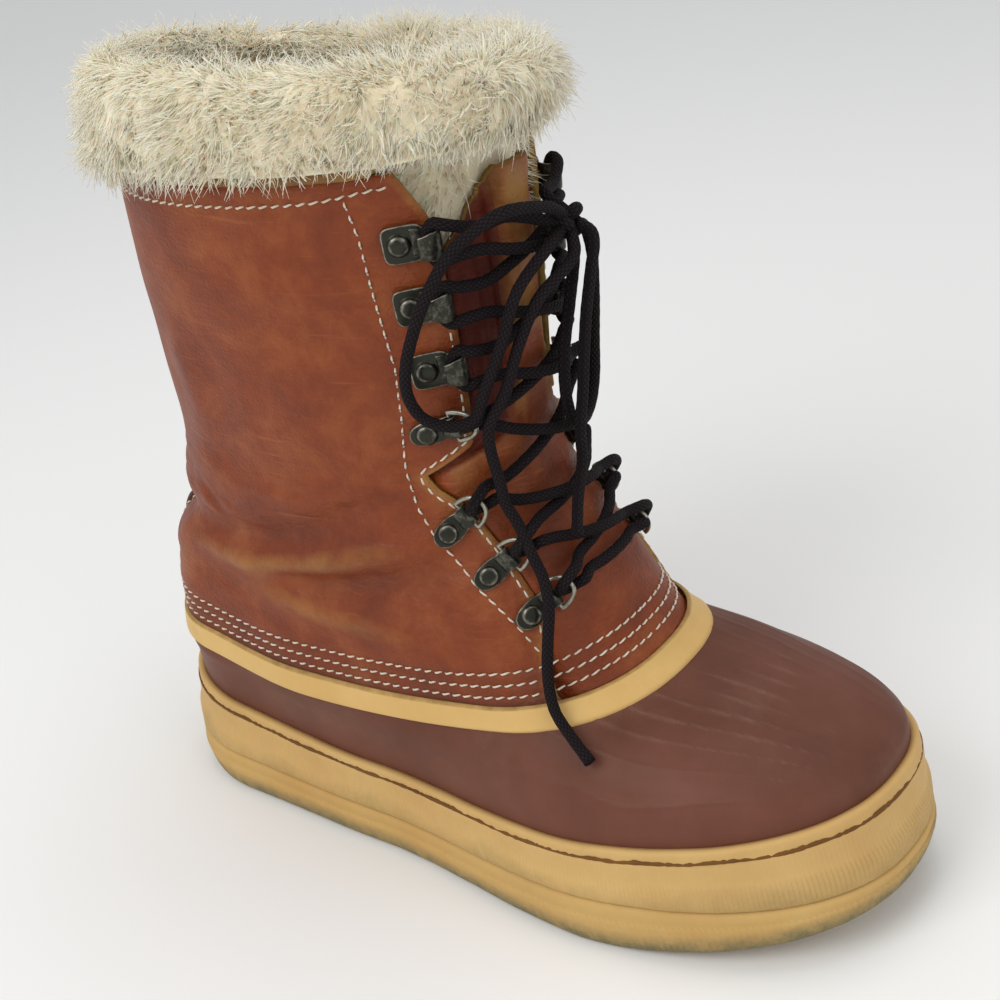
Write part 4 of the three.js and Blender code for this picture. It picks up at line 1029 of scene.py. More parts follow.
@dataclass
class RubberShoe:
    """Moulded shell, top band, foxing with its brown line, and the crepe outsole."""

    form: BootForm
    finishes: Finishes
    turns: int = 370
    shell_wall: float = 2.6
    foxing_foot: float = 6.4
    gap: float = 0.3

    def ring(self, count: int | None = None) -> Array:
        """Even turns round the boot, from its back."""
        count = count or self.turns
        return 2 * math.pi * (np.arange(count) / count)

    def run_length(self, turn: Array) -> Array:
        """Millimetres along the foxing top at each turn."""
        points = self.form.skin(1.0, turn)
        steps = np.linalg.norm(np.roll(points, -1, 0) - points, axis=1)
        return np.concatenate([[0], np.cumsum(steps[:-1])])

    def ring_piece(self, name: str, profile: list[Array], material: bpy.types.Material,
                   node: tuple[str, ...], marks: dict[str, Array]) -> None:
        """Closed ring: profile is a list of (turns, 3) loops, going up outside and down inside."""
        loops = np.stack(profile)
        rows, cols = loops.shape[:2]
        turn = self.ring(cols)
        uv = np.stack(np.broadcast_arrays(self.run_length(turn)[None], np.arange(rows)[:, None]), -1)
        make_piece(name, loops.reshape(-1, 3), grid_faces(rows, cols, True, True), [material], node,
                   uv=uv.reshape(-1, 2).astype(float), marks=marks)

    def build_shell(self) -> None:
        """Shell wall with shallow moulded lines that run back from the toe over the vamp."""
        turn = self.ring()
        levels = np.linspace(0.9, SHELL_TOP, 76)[:, None]
        skin = self.form.skin(levels, turn[None])
        bend = np.abs(math.pi - turn)[None] / 0.9
        fan = (skin[..., 1] - self.form.toe_swing) / (0.55 + 0.45 * smooth((160 - skin[..., 0]) / 90))
        line = np.exp(-(((np.mod(fan, 9.0) - 4.5) / 0.8) ** 2)) * smooth((levels - 2.0) / 0.8)
        line = line * smooth((1.5 - bend) / 0.5)
        lift = 0.3 * line + 0.3 * lattice_noise(skin, 34, 71) * smooth((levels - 1.4) / 0.6)
        outer = skin + self.form.normal(levels, turn[None]) * lift[..., None]
        inner_levels = np.linspace(SHELL_TOP, 0.9, 16)[:, None]
        inner = self.form.at(inner_levels, turn[None], -self.shell_wall)
        loops = list(outer) + list(inner)
        dust = 0.4 * smooth(lattice_noise(skin, 26, 73)) + 0.3 * line
        soil_and_shade = np.concatenate([dust, np.zeros((16, self.turns))])
        self.ring_piece("shell_rubber", loops, self.finishes.shell, ("rubber_shell",),
                        {"soil_and_shade": soil_and_shade.ravel()})

    def build_band(self) -> None:
        """Pale strip with rounded edges over the shell's top, uneven by half a millimetre."""
        turn = self.ring()
        places = np.linspace(0, 1, 16)
        thick = 0.3 + 1.15 * np.sin(math.pi * places) ** 0.12
        wander = 0.05 * lattice_noise(np.stack([self.run_length(turn), 0 * turn, 0 * turn], -1), 40, 81)
        loops = [self.form.at(BAND_FOOT + p * (1 + wander * (p - 0.5)), turn, t)
                 for p, t in zip(places, thick)]
        loops += [self.form.at(level, turn, -0.2) for level in (BAND_TOP, BAND_FOOT)]
        skin = np.stack(loops)
        under = (np.arange(18) >= 14) & (np.arange(18) <= 16)
        soil_and_shade = 0.35 * smooth(lattice_noise(skin, 14, 83)) + 0.9 * under[:, None]
        self.ring_piece("band_strip", loops, self.finishes.band, ("top_band",),
                        {"soil_and_shade": soil_and_shade.ravel()})

    def build_foxing(self) -> None:
        """Foxing: foot flare, wide strip and thin top strip, with the ribbed ledge at the toe."""
        turn = self.ring()
        loops = [self.form.beside_sole(turn, self.foxing_foot - 0.5, 0.05),
                 self.form.beside_sole(turn, self.foxing_foot, 0.9)]
        keys = [(0.16, 6.3), (0.28, 6.0), (0.34, 5.2), (0.4, 4.5), (0.5, 4.1), (0.6, 3.9), (0.7, 3.75),
                (0.76, 3.6), (0.79, 3.3), (0.82, 3.1), (0.88, 3.05), (0.94, 2.95), (0.98, 2.6), (1.0, 1.9)]
        keys += [(1.0, 0.0), (0.5, 0.0)]
        loops += [self.form.at(level, turn, offset) for level, offset in keys]
        loops.append(self.form.beside_sole(turn, 0.0, 0.0))
        skin = np.stack(loops)
        wave = 0.22 * lattice_noise(skin, 12, 91)[..., None]
        skin = skin + wave * unit(skin * (1, 1, 0))
        rows = len(loops)
        toe = smooth((skin[..., 0] - 60) / 60)
        row = np.arange(rows)[:, None]
        ribbed = toe * (row < 5) + 0.25 * (row < 9)
        # Darker towards the bottom of the foxing.
        low = smooth((6 - row) / 6)
        soil_and_shade = 0.45 * low + 0.35 * smooth(lattice_noise(skin, 22, 93)) + 0.3 * (row == 9)
        self.ring_piece("foxing_strip", list(skin), self.finishes.foxing, ("foxing",),
                        {"soil_and_shade": soil_and_shade.ravel(), "ribbed": ribbed.ravel()})
        turn = self.ring(1000)
        run = self.run_length(turn)
        wander = lattice_noise(np.stack([run * 0.6, 0 * turn, 0 * turn], -1), 5, 95)
        path = self.form.at(0.775 + 0.012 * wander, turn, 3.25)
        out = self.form.normal(0.8, turn)
        up = np.array([0.0, 0.0, 1.0])
        along = np.stack([run, 0 * turn, 0 * turn + 9], -1)
        thin = 0.85 + 0.4 * lattice_noise(along, 14, 97) + 0.4 * lattice_noise(along, 1.1, 98)
        around = np.arange(8) / 8 * 2 * math.pi
        loops = [path + out * (0.5 * np.cos(a)) + up * (np.sin(a) * np.maximum(thin, 0.15))[:, None]
                 for a in around]
        soil_and_shade = np.zeros((8, len(turn))) + 0.5 * smooth(wander)
        self.ring_piece("foxing_line", loops, self.finishes.line, (), {"soil_and_shade": soil_and_shade.ravel()})

    def build_outsole(self) -> None:
        """Crepe sole: bulged side, rounded tread edge, lugs cut into the flat tread."""
        turn = self.ring(720)
        count = len(turn)

        def side(out: float, share: float) -> Array:
            """Side loop at a share of the height from tread to sole line."""
            p = self.form.beside_sole(turn, out, -self.gap)
            p[:, 2] = self.form.sole_floor(p[:, 0]) * (1 - share) + p[:, 2] * share
            return p

        shape = [(0.0, 3.2), (0.035, 4.5), (0.09, 5.3), (0.18, 5.9), (0.34, 6.5), (0.5, 7.0), (0.6, 7.25),
                 (0.66, 7.0), (0.69, 6.55), (0.73, 6.6), (0.8, 6.8), (0.9, 6.7), (0.96, 6.3), (1.0, 5.4)]
        walls = [side(out, share) for share, out in shape]
        middle = walls[0].copy()
        middle[:, 1] = (walls[0][:, 1] + walls[0][(-np.arange(count)) % count][:, 1]) / 2
        ratio = np.concatenate([[0.985, 0.95, 0.9], np.linspace(0.84, 0.0, 14)])
        below = np.stack([middle + (walls[0] - middle) * r for r in ratio])
        x, y = below[..., 0], below[..., 1] - middle[None, :, 1]
        rim = np.linalg.norm(walls[0] - middle, axis=1)[None] - np.abs(y)
        lug = smooth((np.abs(np.mod(x + np.abs(y) * 0.35, 15.0) - 7.5) - 4.6) / 1.0)
        cut = 3.0 * lug * smooth((rim - 5.0) / 2.0) * smooth((walls[0][:, 0].max() - 12 - x) / 6)
        arch = 4.0 * smooth(1 - np.abs(x + 28) / 22) * smooth((34 - np.abs(y)) / 6)
        below[..., 2] = self.form.sole_floor(x) + np.maximum(cut, arch)
        over = [(middle + (walls[-1] - middle) * r) * (1, 1, 0) + walls[-1] * (0, 0, 1)
                for r in (0.9, 0.6, 0.3, 0.0)]
        loops = np.concatenate([below[::-1], np.stack(walls), np.stack(over)])
        bottom = len(below)
        noise = 0.2 * lattice_noise(loops, 10, 101)[..., None] * unit(loops * (1, 1, 0))
        loops[bottom:bottom + len(walls)] += noise[bottom:bottom + len(walls)]
        rows = len(loops)
        height = loops[..., 2] - self.form.sole_floor(loops[..., 0])
        # Darker towards the bottom of the sole's side.
        soil_and_shade = 1.2 * smooth((13 - height) / 12) + 0.3 * smooth(lattice_noise(loops, 20, 103))
        soil_and_shade[:bottom] = 0.8
        ribbed = np.zeros((rows, count))
        ribbed[bottom + 2:bottom + 8] = 0.35 + 0.65 * smooth((loops[bottom + 2:bottom + 8, :, 0] - 40) / 50)
        uv = np.stack(np.broadcast_arrays(self.run_length(turn)[None], np.arange(rows)[:, None]), -1)
        make_piece("crepe_sole", loops.reshape(-1, 3), grid_faces(rows, count, False, True),
                   [self.finishes.sole], ("outsole",),
                   uv=uv.reshape(-1, 2).astype(float),
                   marks={"soil_and_shade": soil_and_shade.ravel(), "ribbed": ribbed.ravel()})

    def build(self) -> None:
        """All rubber pieces."""
        self.build_shell()
        self.build_band()
        self.build_foxing()
        self.build_outsole()


@dataclass
class FeltLiner:
    """Grey felt liner: its wall and footbed inside the boot, and the deep pile cuff over the collar."""

    form: BootForm
    finishes: Finishes
    felt: float = 4.0
    felt_gap: float = 4.6
    footbed_gap: float = 3.9
    turns: int = 110
    tufts: int = 1200
    hairs: int = 6100
    sunk: float = 3.4
    pile_drop: float = 28.0
    # Share of the strands over the throat's corners that grow down in it, from outside and inside the roll
    to_corner: tuple = (0.25, 0.85)
    section: Array = field(default_factory=lambda: np.array([
        (-3.6, -36), (-3.6, 0), (-3.6, 4.4), (3, 4.8), (9, 3.6), (12.5, 11), (12.5, 23), (8, 33), (0, 38),
        (-9, 37), (-16, 28), (-17, 10), (-13, -12), (-9, -36)], float))
    rise_turn: tuple = (0, 1.3, 2.4, 3.14, 4, 5, 5.8, 6.284)
    rise_share: tuple = (1.0, 1.03, 0.9, 0.74, 0.62, 0.64, 0.84, 1.0)

    def roll_point(self, place: Array, turn: Array) -> Array:
        """Point of the roll: its section's curve at a fractional corner, set out from the collar."""
        place = np.clip(place, 0, len(self.section) - 1)
        i = np.clip(np.floor(place).astype(int), 0, len(self.section) - 2)
        f = (place - i)[..., None]
        before = self.section[np.maximum(i - 1, 0)]
        a, b = self.section[i], self.section[i + 1]
        after = self.section[np.minimum(i + 2, len(self.section) - 1)]
        spot = 0.5 * (2 * a + (b - before) * f + (2 * before - 5 * a + 4 * b - after) * f**2
                      + (3 * a - before - 3 * b + after) * f**3)
        back = np.exp(-((np.minimum(turn, 2 * math.pi - turn) / 0.9) ** 2))
        out, up = spot[..., 0] - 4.0 * back * smooth((place - 3.4) / 1.5), spot[..., 1]
        front = smooth((np.abs(np.sin(turn / 2)) - 0.9) / 0.06)
        inset = np.where((up < 5) & (out < 0), 3.2 * front, 0.0)
        step = self.form.skin(COLLAR, turn)[..., 2] - self.form.skin(COLLAR - 1, turn)[..., 2]
        below = COLLAR + np.minimum(up, 0) / step
        side = self.form.normal(below, turn) * (1, 1, 0)
        point = self.form.skin(below, turn) + unit(side) * (out - inset)[..., None]
        share = np.interp(np.mod(turn, 2 * math.pi), self.rise_turn, self.rise_share)
        point[..., 2] += np.where(up > 5, 5 + (up - 5) * share, np.maximum(up, 0))
        return point

    def build_felt(self) -> None:
        """Felt wall inside shell and shaft, and a footbed on the insole."""
        turn = np.arange(self.turns) / self.turns * 2 * math.pi
        levels = np.concatenate([np.linspace(1.2, 5.4, 16), np.linspace(5.8, 12.6, 30)])
        front = smooth((np.abs(np.sin(turn / 2)) - 0.86) / 0.1)
        inset = 3.4 * front
        loops = [self.form.at(level, turn, -depth - inset * float(smooth(level - 5)))
                 for depth, run in ((self.felt_gap, levels), (self.felt_gap + self.felt, levels[::-1]))
                 for level in run]
        points = np.stack(loops)
        make_piece("felt_wall", points.reshape(-1, 3), grid_faces(len(loops), self.turns, True, True),
                   [self.finishes.felt], marks={"tip": np.full(points.size // 3, 0.5)})
        edge = self.form.beside_sole(turn, -self.footbed_gap, 0.0)
        middle = edge.copy()
        middle[:, 1] = (edge[:, 1] + edge[(-np.arange(self.turns)) % self.turns, 1]) / 2
        shares = np.linspace(0, 1, 9)
        layers = [(share, 0.15) for share in shares] + [(share, 4.6) for share in shares[::-1]]
        reach = edge - middle
        loops = np.stack([middle + reach * share * (1, 1, 0) + reach * (0, 0, 1) + (0, 0, lift)
                          for share, lift in layers])
        make_piece("felt_footbed", loops.reshape(-1, 3), grid_faces(18, self.turns, False, True),
                   [self.finishes.felt], ("insole",), marks={"tip": np.full(loops.size // 3, 0.6)})

    def lump(self, points: Array) -> Array:
        """Unevenness of the cuff's body: clumps, curls and a fine nap, in millimetres."""
        return (1.4 * lattice_noise(points, 13, 111) + 0.8 * lattice_noise(points, 5, 112)
                + 0.5 * lattice_noise(points, 2.2, 114))

    def build_roll(self) -> None:
        """The cuff's body: clumped in lumps of about 10 mm under the locks."""
        turn = (np.arange(280) / 280 * 2 * math.pi)[None]
        place = np.linspace(0, 13, 78)[:, None]
        points = self.roll_point(place + 0 * turn, turn + 0 * place)
        along = self.roll_point(place + 0 * turn, turn + 0.01 + 0 * place) - points
        up = self.roll_point(place + 0.01, turn + 0 * place) - points
        normal = unit(np.cross(along, up))
        fur = smooth((place - 3.2) / 1.2) * smooth((12.4 - place) / 1.5)
        points = points + normal * ((self.lump(points) - self.sunk) * fur)[..., None]
        # The body takes a colour near the roots: painted shade under the strands.
        tip = 0.35 + 0.2 * lattice_noise(points, 7, 113)
        make_piece("pile_body", points.reshape(-1, 3), grid_faces(78, 280, True, True), [self.finishes.pile],
                   ("fleece_cuff",), marks={"tip": tip.ravel()})

    def strands(self, count: int, stations: int, long: tuple, root_radius: float, seed: int,
                curl: float) -> tuple[Array, Array]:
        """Curved strands rooted on the roll, leaning together in clumps and drooping at the tips.

        Args:
            count: number of strands.
            stations: points along each.
            long: shortest and longest length in millimetres.
            root_radius: radius at the root.
            seed: seed of their places.
            curl: how far the tips swing, as a share of the length.

        Returns:
            Paths and radii.
        """
        rng = np.random.default_rng(seed)
        turn = rng.uniform(0, 2 * math.pi, count)
        away = np.minimum(turn, 2 * math.pi - turn)
        open_side = np.exp(-(((away - 2.2) / 0.62) ** 2))
        place = rng.uniform(3.6 + 0.5 * open_side, 12.2, count)
        low = 3.6 * rng.uniform(0.1, 1, count) ** 2.2
        low_root = self.roll_point(low, turn)
        clear = np.abs(low_root[:, 1]) < self.form.throat_half(low_root[:, 2]) - 4.5
        outer_share, inner_share = self.to_corner
        moved = outer_share + (inner_share - outer_share) * smooth((place - 7.5) / 1.5)
        corner = clear & (away > 2.2) & (away < 2.9) & (rng.uniform(0, 1, count) < moved)
        place = np.where(corner, low, place)
        root = self.roll_point(place, turn)
        along = unit(self.roll_point(place, turn + 0.01) - root)
        up = unit(self.roll_point(place + 0.02, turn) - root)
        out = unit(np.cross(along, up))
        root = root + out * ((self.lump(root) - self.sunk) * smooth((place - 2.6) / 1.2) - 0.6)[:, None]
        clump = np.stack([lattice_noise(root, 9, seed % 5 + k) for k in range(3)], -1)
        swirl = np.stack([lattice_noise(root, 24, seed % 5 + 10 + k) for k in range(3)], -1)
        inside = smooth((place - 8.5) / 2)
        fall = np.where(corner, 0.6, 0.85 - 0.75 * inside)
        lean = (out * (0.5 + 0.2 * inside)[:, None] + 0.42 * clump + 0.45 * swirl
                + rng.normal(0, 0.2, (count, 3)))
        lean[:, 2] -= fall * (1 - 0.45 * open_side)
        lean -= out * np.minimum((lean * out).sum(-1) - 0.28, 0)[:, None]
        lean = unit(lean)
        short = 1 - 0.3 * open_side * smooth((6 - place) / 1.5)
        length = rng.uniform(*long, count) * (1 + 0.45 * inside) * short
        share = np.linspace(0, 1, stations)[None, :, None]
        swing = unit(np.cross(lean, out) + 0.6 * swirl + rng.normal(0, 0.4, (count, 3)))
        paths = root[:, None] + length[:, None, None] * (
            share * lean[:, None] * (1 - 0.12 * share) + curl * share**2 * swing[:, None]
            - (0.12 * share**2) * np.array([0.0, 0.0, 1.0]))
        taper = 1 - 0.8 * np.linspace(0, 1, stations)[None] ** 1.4
        return paths, root_radius * rng.uniform(0.75, 1.2, (count, 1)) * taper

    def build_pile(self) -> None:
        """Thick locks and three sets of finer hairs, so that the edge of the pile is soft."""
        lowest = self.form.skin(COLLAR, 0.0)[2] - self.pile_drop
        for name, count, stations, long, radius, seed, curl in (
                ("pile_locks", self.tufts, 5, (6, 8.5), 0.75, 10, 0.3),
                ("pile_hairs_near", self.hairs, 4, (6, 9), 0.33, 20, 0.42),
                ("pile_hairs_middle", self.hairs, 4, (6, 9.5), 0.28, 55, 0.46),
                ("pile_hairs_far", self.hairs, 4, (7, 11), 0.22, 30, 0.5)):
            paths, radii = self.strands(count, stations, long, radius, seed, curl)
            paths[..., 2] = np.maximum(paths[..., 2], lowest)
            points, quads, share = tubes(paths, radii, 3)
            # Darker towards the roots: painted shade among the strands.
            make_piece(name, points, quads, [self.finishes.pile], marks={"tip": 0.3 + 0.6 * share})

    def build(self) -> None:
        """All liner pieces."""
        self.build_felt()
        self.build_roll()
        self.build_pile()


class Fastening(Enum):
    """The two kinds of lacing hardware."""

    HOOK = "speed_hook"
    RING = "ring_clip"


@dataclass(frozen=True)
class LacingRow:
    """One row of hardware.

    Attributes:
        kind: hook or ring.
        height: share of the collar height.
        behind: millimetres from the throat's edge back to the rivet.
        tilt: degrees that the piece is turned up from level.
    """

    kind: Fastening
    height: float
    behind: float
    tilt: float


ROWS = (
    LacingRow(Fastening.HOOK, 0.924, 10.0, 0.0),
    LacingRow(Fastening.HOOK, 0.845, 11.5, 0.0),
    LacingRow(Fastening.HOOK, 0.76, 10.5, 0.0),
    LacingRow(Fastening.RING, 0.677, 13.0, 8.0),
    LacingRow(Fastening.RING, 0.537, 10.4, 36.0),
    LacingRow(Fastening.RING, 0.477, 7.9, 33.0),
    LacingRow(Fastening.RING, 0.422, 3.4, 30.0),
)


@dataclass
class Hardware:
    """Pressed steel speed hooks and ring clips, riveted beside the throat."""

    form: BootForm
    finishes: Finishes
    seat_gap: float = 0.55
    long: float = 13.5
    tall: float = 12.6
    thick: float = 0.9
    corner: float = 2.4
    hook_wide: float = 9.4
    hook_reach: float = 11.8
    hook_high: float = 7.4
    clip_long: float = 15.0
    clip_tall: float = 8.8
    clip_thick: float = 1.4
    rivet: float = 7.0
    ring_long: float = 8.5
    ring_wide: float = 11.0
    ring_wire: float = 1.7
    ring_tilt: float = 0.42

    def seat(self, row: LacingRow) -> tuple[float, float]:
        """Level and turn of a row's rivet on the outer side."""
        height = row.height * self.form.collar_height
        level = self.form.level_at(height, math.pi)
        edge = self.form.turn_at(level, self.form.throat_half(height))
        step = self.form.skin(level, edge) - self.form.skin(level, edge - 0.02)
        return float(level), float(edge - row.behind / (np.linalg.norm(step) / 0.02))

    def frame_at(self, row: LacingRow, side: Side) -> tuple[Array, Array]:
        """Origin and 3 by 3 axes at a rivet: toward the throat, up, and out of the leather."""
        level, turn = self.seat(row)
        turn = turn if side is Side.OUTER else 2 * math.pi - turn
        out = self.form.normal(level, turn)
        forward = unit(self.form.skin(level, turn - side.value * 0.02) - self.form.skin(level, turn))
        up = unit(np.cross(out, forward) if side is Side.OUTER else np.cross(forward, out))
        c, s = math.cos(math.radians(row.tilt)), math.sin(math.radians(row.tilt))
        origin = self.form.at(level, turn, self.seat_gap)
        return origin, np.stack([forward * c + up * s, up * c - forward * s, out])

    def pad(self, outline: Array, profile: list[tuple[float, float, float]]) -> tuple[Array, Array, Array]:
        """Stack of one outline: profile rows are size share, height and wear-and-highlight mark, centre to
        centre.

        Returns:
            Points, quads and marks.
        """
        loops = [np.concatenate([outline * share, np.full((len(outline), 1), z)], 1)
                 for share, z, _ in profile]
        worn = np.repeat([w for _, _, w in profile], len(outline))
        return np.concatenate(loops), grid_faces(len(profile), len(outline), wrap_cols=True), worn

    def plate(self, long: float, tall: float, corner: float, thick: float) -> tuple[Array, Array, Array]:
        """Plate with rounded corners: a superellipse outline, its upper edge rounded."""
        angle = np.arange(48) / 48 * 2 * math.pi
        power = 2 * corner / min(long, tall) + 0.02
        outline = np.stack([long / 2 * np.sign(np.cos(angle)) * np.abs(np.cos(angle)) ** power,
                            tall / 2 * np.sign(np.sin(angle)) * np.abs(np.sin(angle)) ** power], 1)
        return self.pad(outline, [(0, 0, 0), (0.97, 0, 0.4), (1, 0.15, 0.8), (1, thick * 0.7, 1.0),
                                  (0.97, thick * 0.94, 1.0), (0.93, thick, 0.5), (0.6, thick, 0.15),
                                  (0, thick, 0.15)])

    def rivet_head(self, base: float) -> tuple[Array, Array, Array]:
        """Domed rivet in a pressed ring."""
        angle = np.arange(28) / 28 * 2 * math.pi
        outline = np.stack([np.cos(angle), np.sin(angle)], 1) * self.rivet / 2
        profile = [(0, 0, 0), (1.16, 0, 0.3), (1.14, 0.35, 0.5), (1.02, 0.3, 0.1), (1.0, 0.5, 0.2),
                   (0.96, 1.0, 0.7), (0.84, 1.45, 0.8), (0.62, 1.75, 0.5), (0.34, 1.9, 0.35), (0, 1.95, 0.3)]
        points, quads, worn = self.pad(outline, profile)
        return points + (-1.5, 0, base - 0.2), quads, worn

    def strap(self, line: Array, wide: float, thick: float) -> tuple[Array, Array, Array]:
        """Flat strip with rounded edges bent along a line in the x-z plane."""
        path = resample(np.stack([line[:, 0], 0 * line[:, 0], line[:, 1]], 1), 0.6)
        along = unit(np.gradient(path, axis=0))
        normal = np.stack([along[:, 2], 0 * along[:, 0], -along[:, 0]], 1)
        angle = np.arange(20) / 20 * 2 * math.pi
        across = wide / 2 * np.sign(np.cos(angle)) * np.abs(np.cos(angle)) ** 0.3
        away = thick / 2 * np.sign(np.sin(angle)) * np.abs(np.sin(angle)) ** 0.5
        taper = 1 - 0.22 * smooth((np.linspace(0, 1, len(path)) - 0.75) / 0.25)
        rings = (path[:, None] + normal[:, None] * away[None, :, None]
                 + np.array([0, 1.0, 0]) * (across[None] * taper[:, None])[..., None])
        caps = path[[0, -1], None] + np.zeros((1, 20, 1))
        rings = np.concatenate([caps[:1], rings, caps[1:]])
        # Half bare over the whole tab and fully bare at its edges: rubbed edges, and painted highlight on the
        # tab.
        worn = np.tile(0.55 + 0.6 * (np.abs(np.cos(angle)) > 0.9), len(path) + 2)
        return rings.reshape(-1, 3), grid_faces(len(path) + 2, 20, wrap_cols=True), worn

    def ring_bow(self, fold_x: float, fold_z: float) -> tuple[Array, Array, Array]:
        """Wire ring: a straight bar in the clip's fold and a round bow, tilted by the lace."""
        angle = np.arange(56) / 56 * 2 * math.pi
        bow = np.maximum(np.cos(angle), 0) * self.ring_long
        across = self.ring_wide / 2 * np.sign(np.sin(angle)) * np.abs(np.sin(angle)) ** 0.75
        out_x = np.where(np.cos(angle) > 0, np.cos(angle), -0.6)
        small = np.arange(12) / 12 * 2 * math.pi
        flat = self.ring_wire / 2 * np.cos(small)[None]
        off = self.ring_wire / 2 * np.sin(small)[None]
        x = bow[:, None] + flat * out_x[:, None]
        y = across[:, None] + flat * np.sin(angle)[:, None]
        c, s = math.cos(self.ring_tilt), math.sin(self.ring_tilt)
        points = np.stack([fold_x + x * c - off * s, y, fold_z + x * s + off * c], -1)
        # Bare metal over the whole wire: painted highlight on a dark ring.
        worn = np.full(points.shape[:2], 1.15)
        return points.reshape(-1, 3), grid_faces(56, 12, True, True), worn.ravel()

    def shells(self, kind: Fastening) -> list[tuple[Array, Array, Array]]:
        """The closed parts of one hook or clip in its own axes."""
        if kind is Fastening.HOOK:
            r, h = self.hook_reach, self.hook_high
            line = np.array([(2.5, 0.6), (r * 0.72, 0.6), (r * 0.93, h * 0.28), (r, h * 0.6),
                             (r * 0.9, h * 0.88), (r * 0.68, h), (r * 0.42, h * 0.93)])
            return [self.plate(self.long, self.tall, self.corner, self.thick), self.rivet_head(self.thick),
                    self.strap(line, self.hook_wide, 1.1)]
        x = self.clip_long / 2 + 0.6
        turned = np.array([(2.0, 0.9), (x - 0.6, 0.75), (x + 1.2, 0.9), (x + 1.8, 1.9), (x + 1.1, 3.1),
                           (x - 0.6, 3.5), (x - 2.6, 2.6), (x - 4.0, 1.7)])
        return [self.plate(self.clip_long, self.clip_tall, self.clip_tall * 0.42, self.clip_thick),
                self.rivet_head(self.clip_thick), self.strap(turned, self.clip_tall * 0.86, 0.9),
                self.ring_bow(x, 2.0)]

    def build(self) -> None:
        """Each hook and clip on both sides of the throat."""
        for number, row in enumerate(ROWS, 1):
            for side in Side:
                origin, axes = self.frame_at(row, side)
                points, quads, worn, base = [], [], [], 0
                for local, faces, mark in self.shells(row.kind):
                    placed = origin + local @ axes
                    points.append(placed)
                    quads.append(face_out(placed, faces) + base)
                    worn.append(mark)
                    base += len(placed)
                node = f"{row.kind.value}_{number}_{side.name.lower()}"
                make_piece(f"steel_{node}", np.concatenate(points), np.concatenate(quads),
                           [self.finishes.steel], (node,), marks={"worn": np.concatenate(worn)})


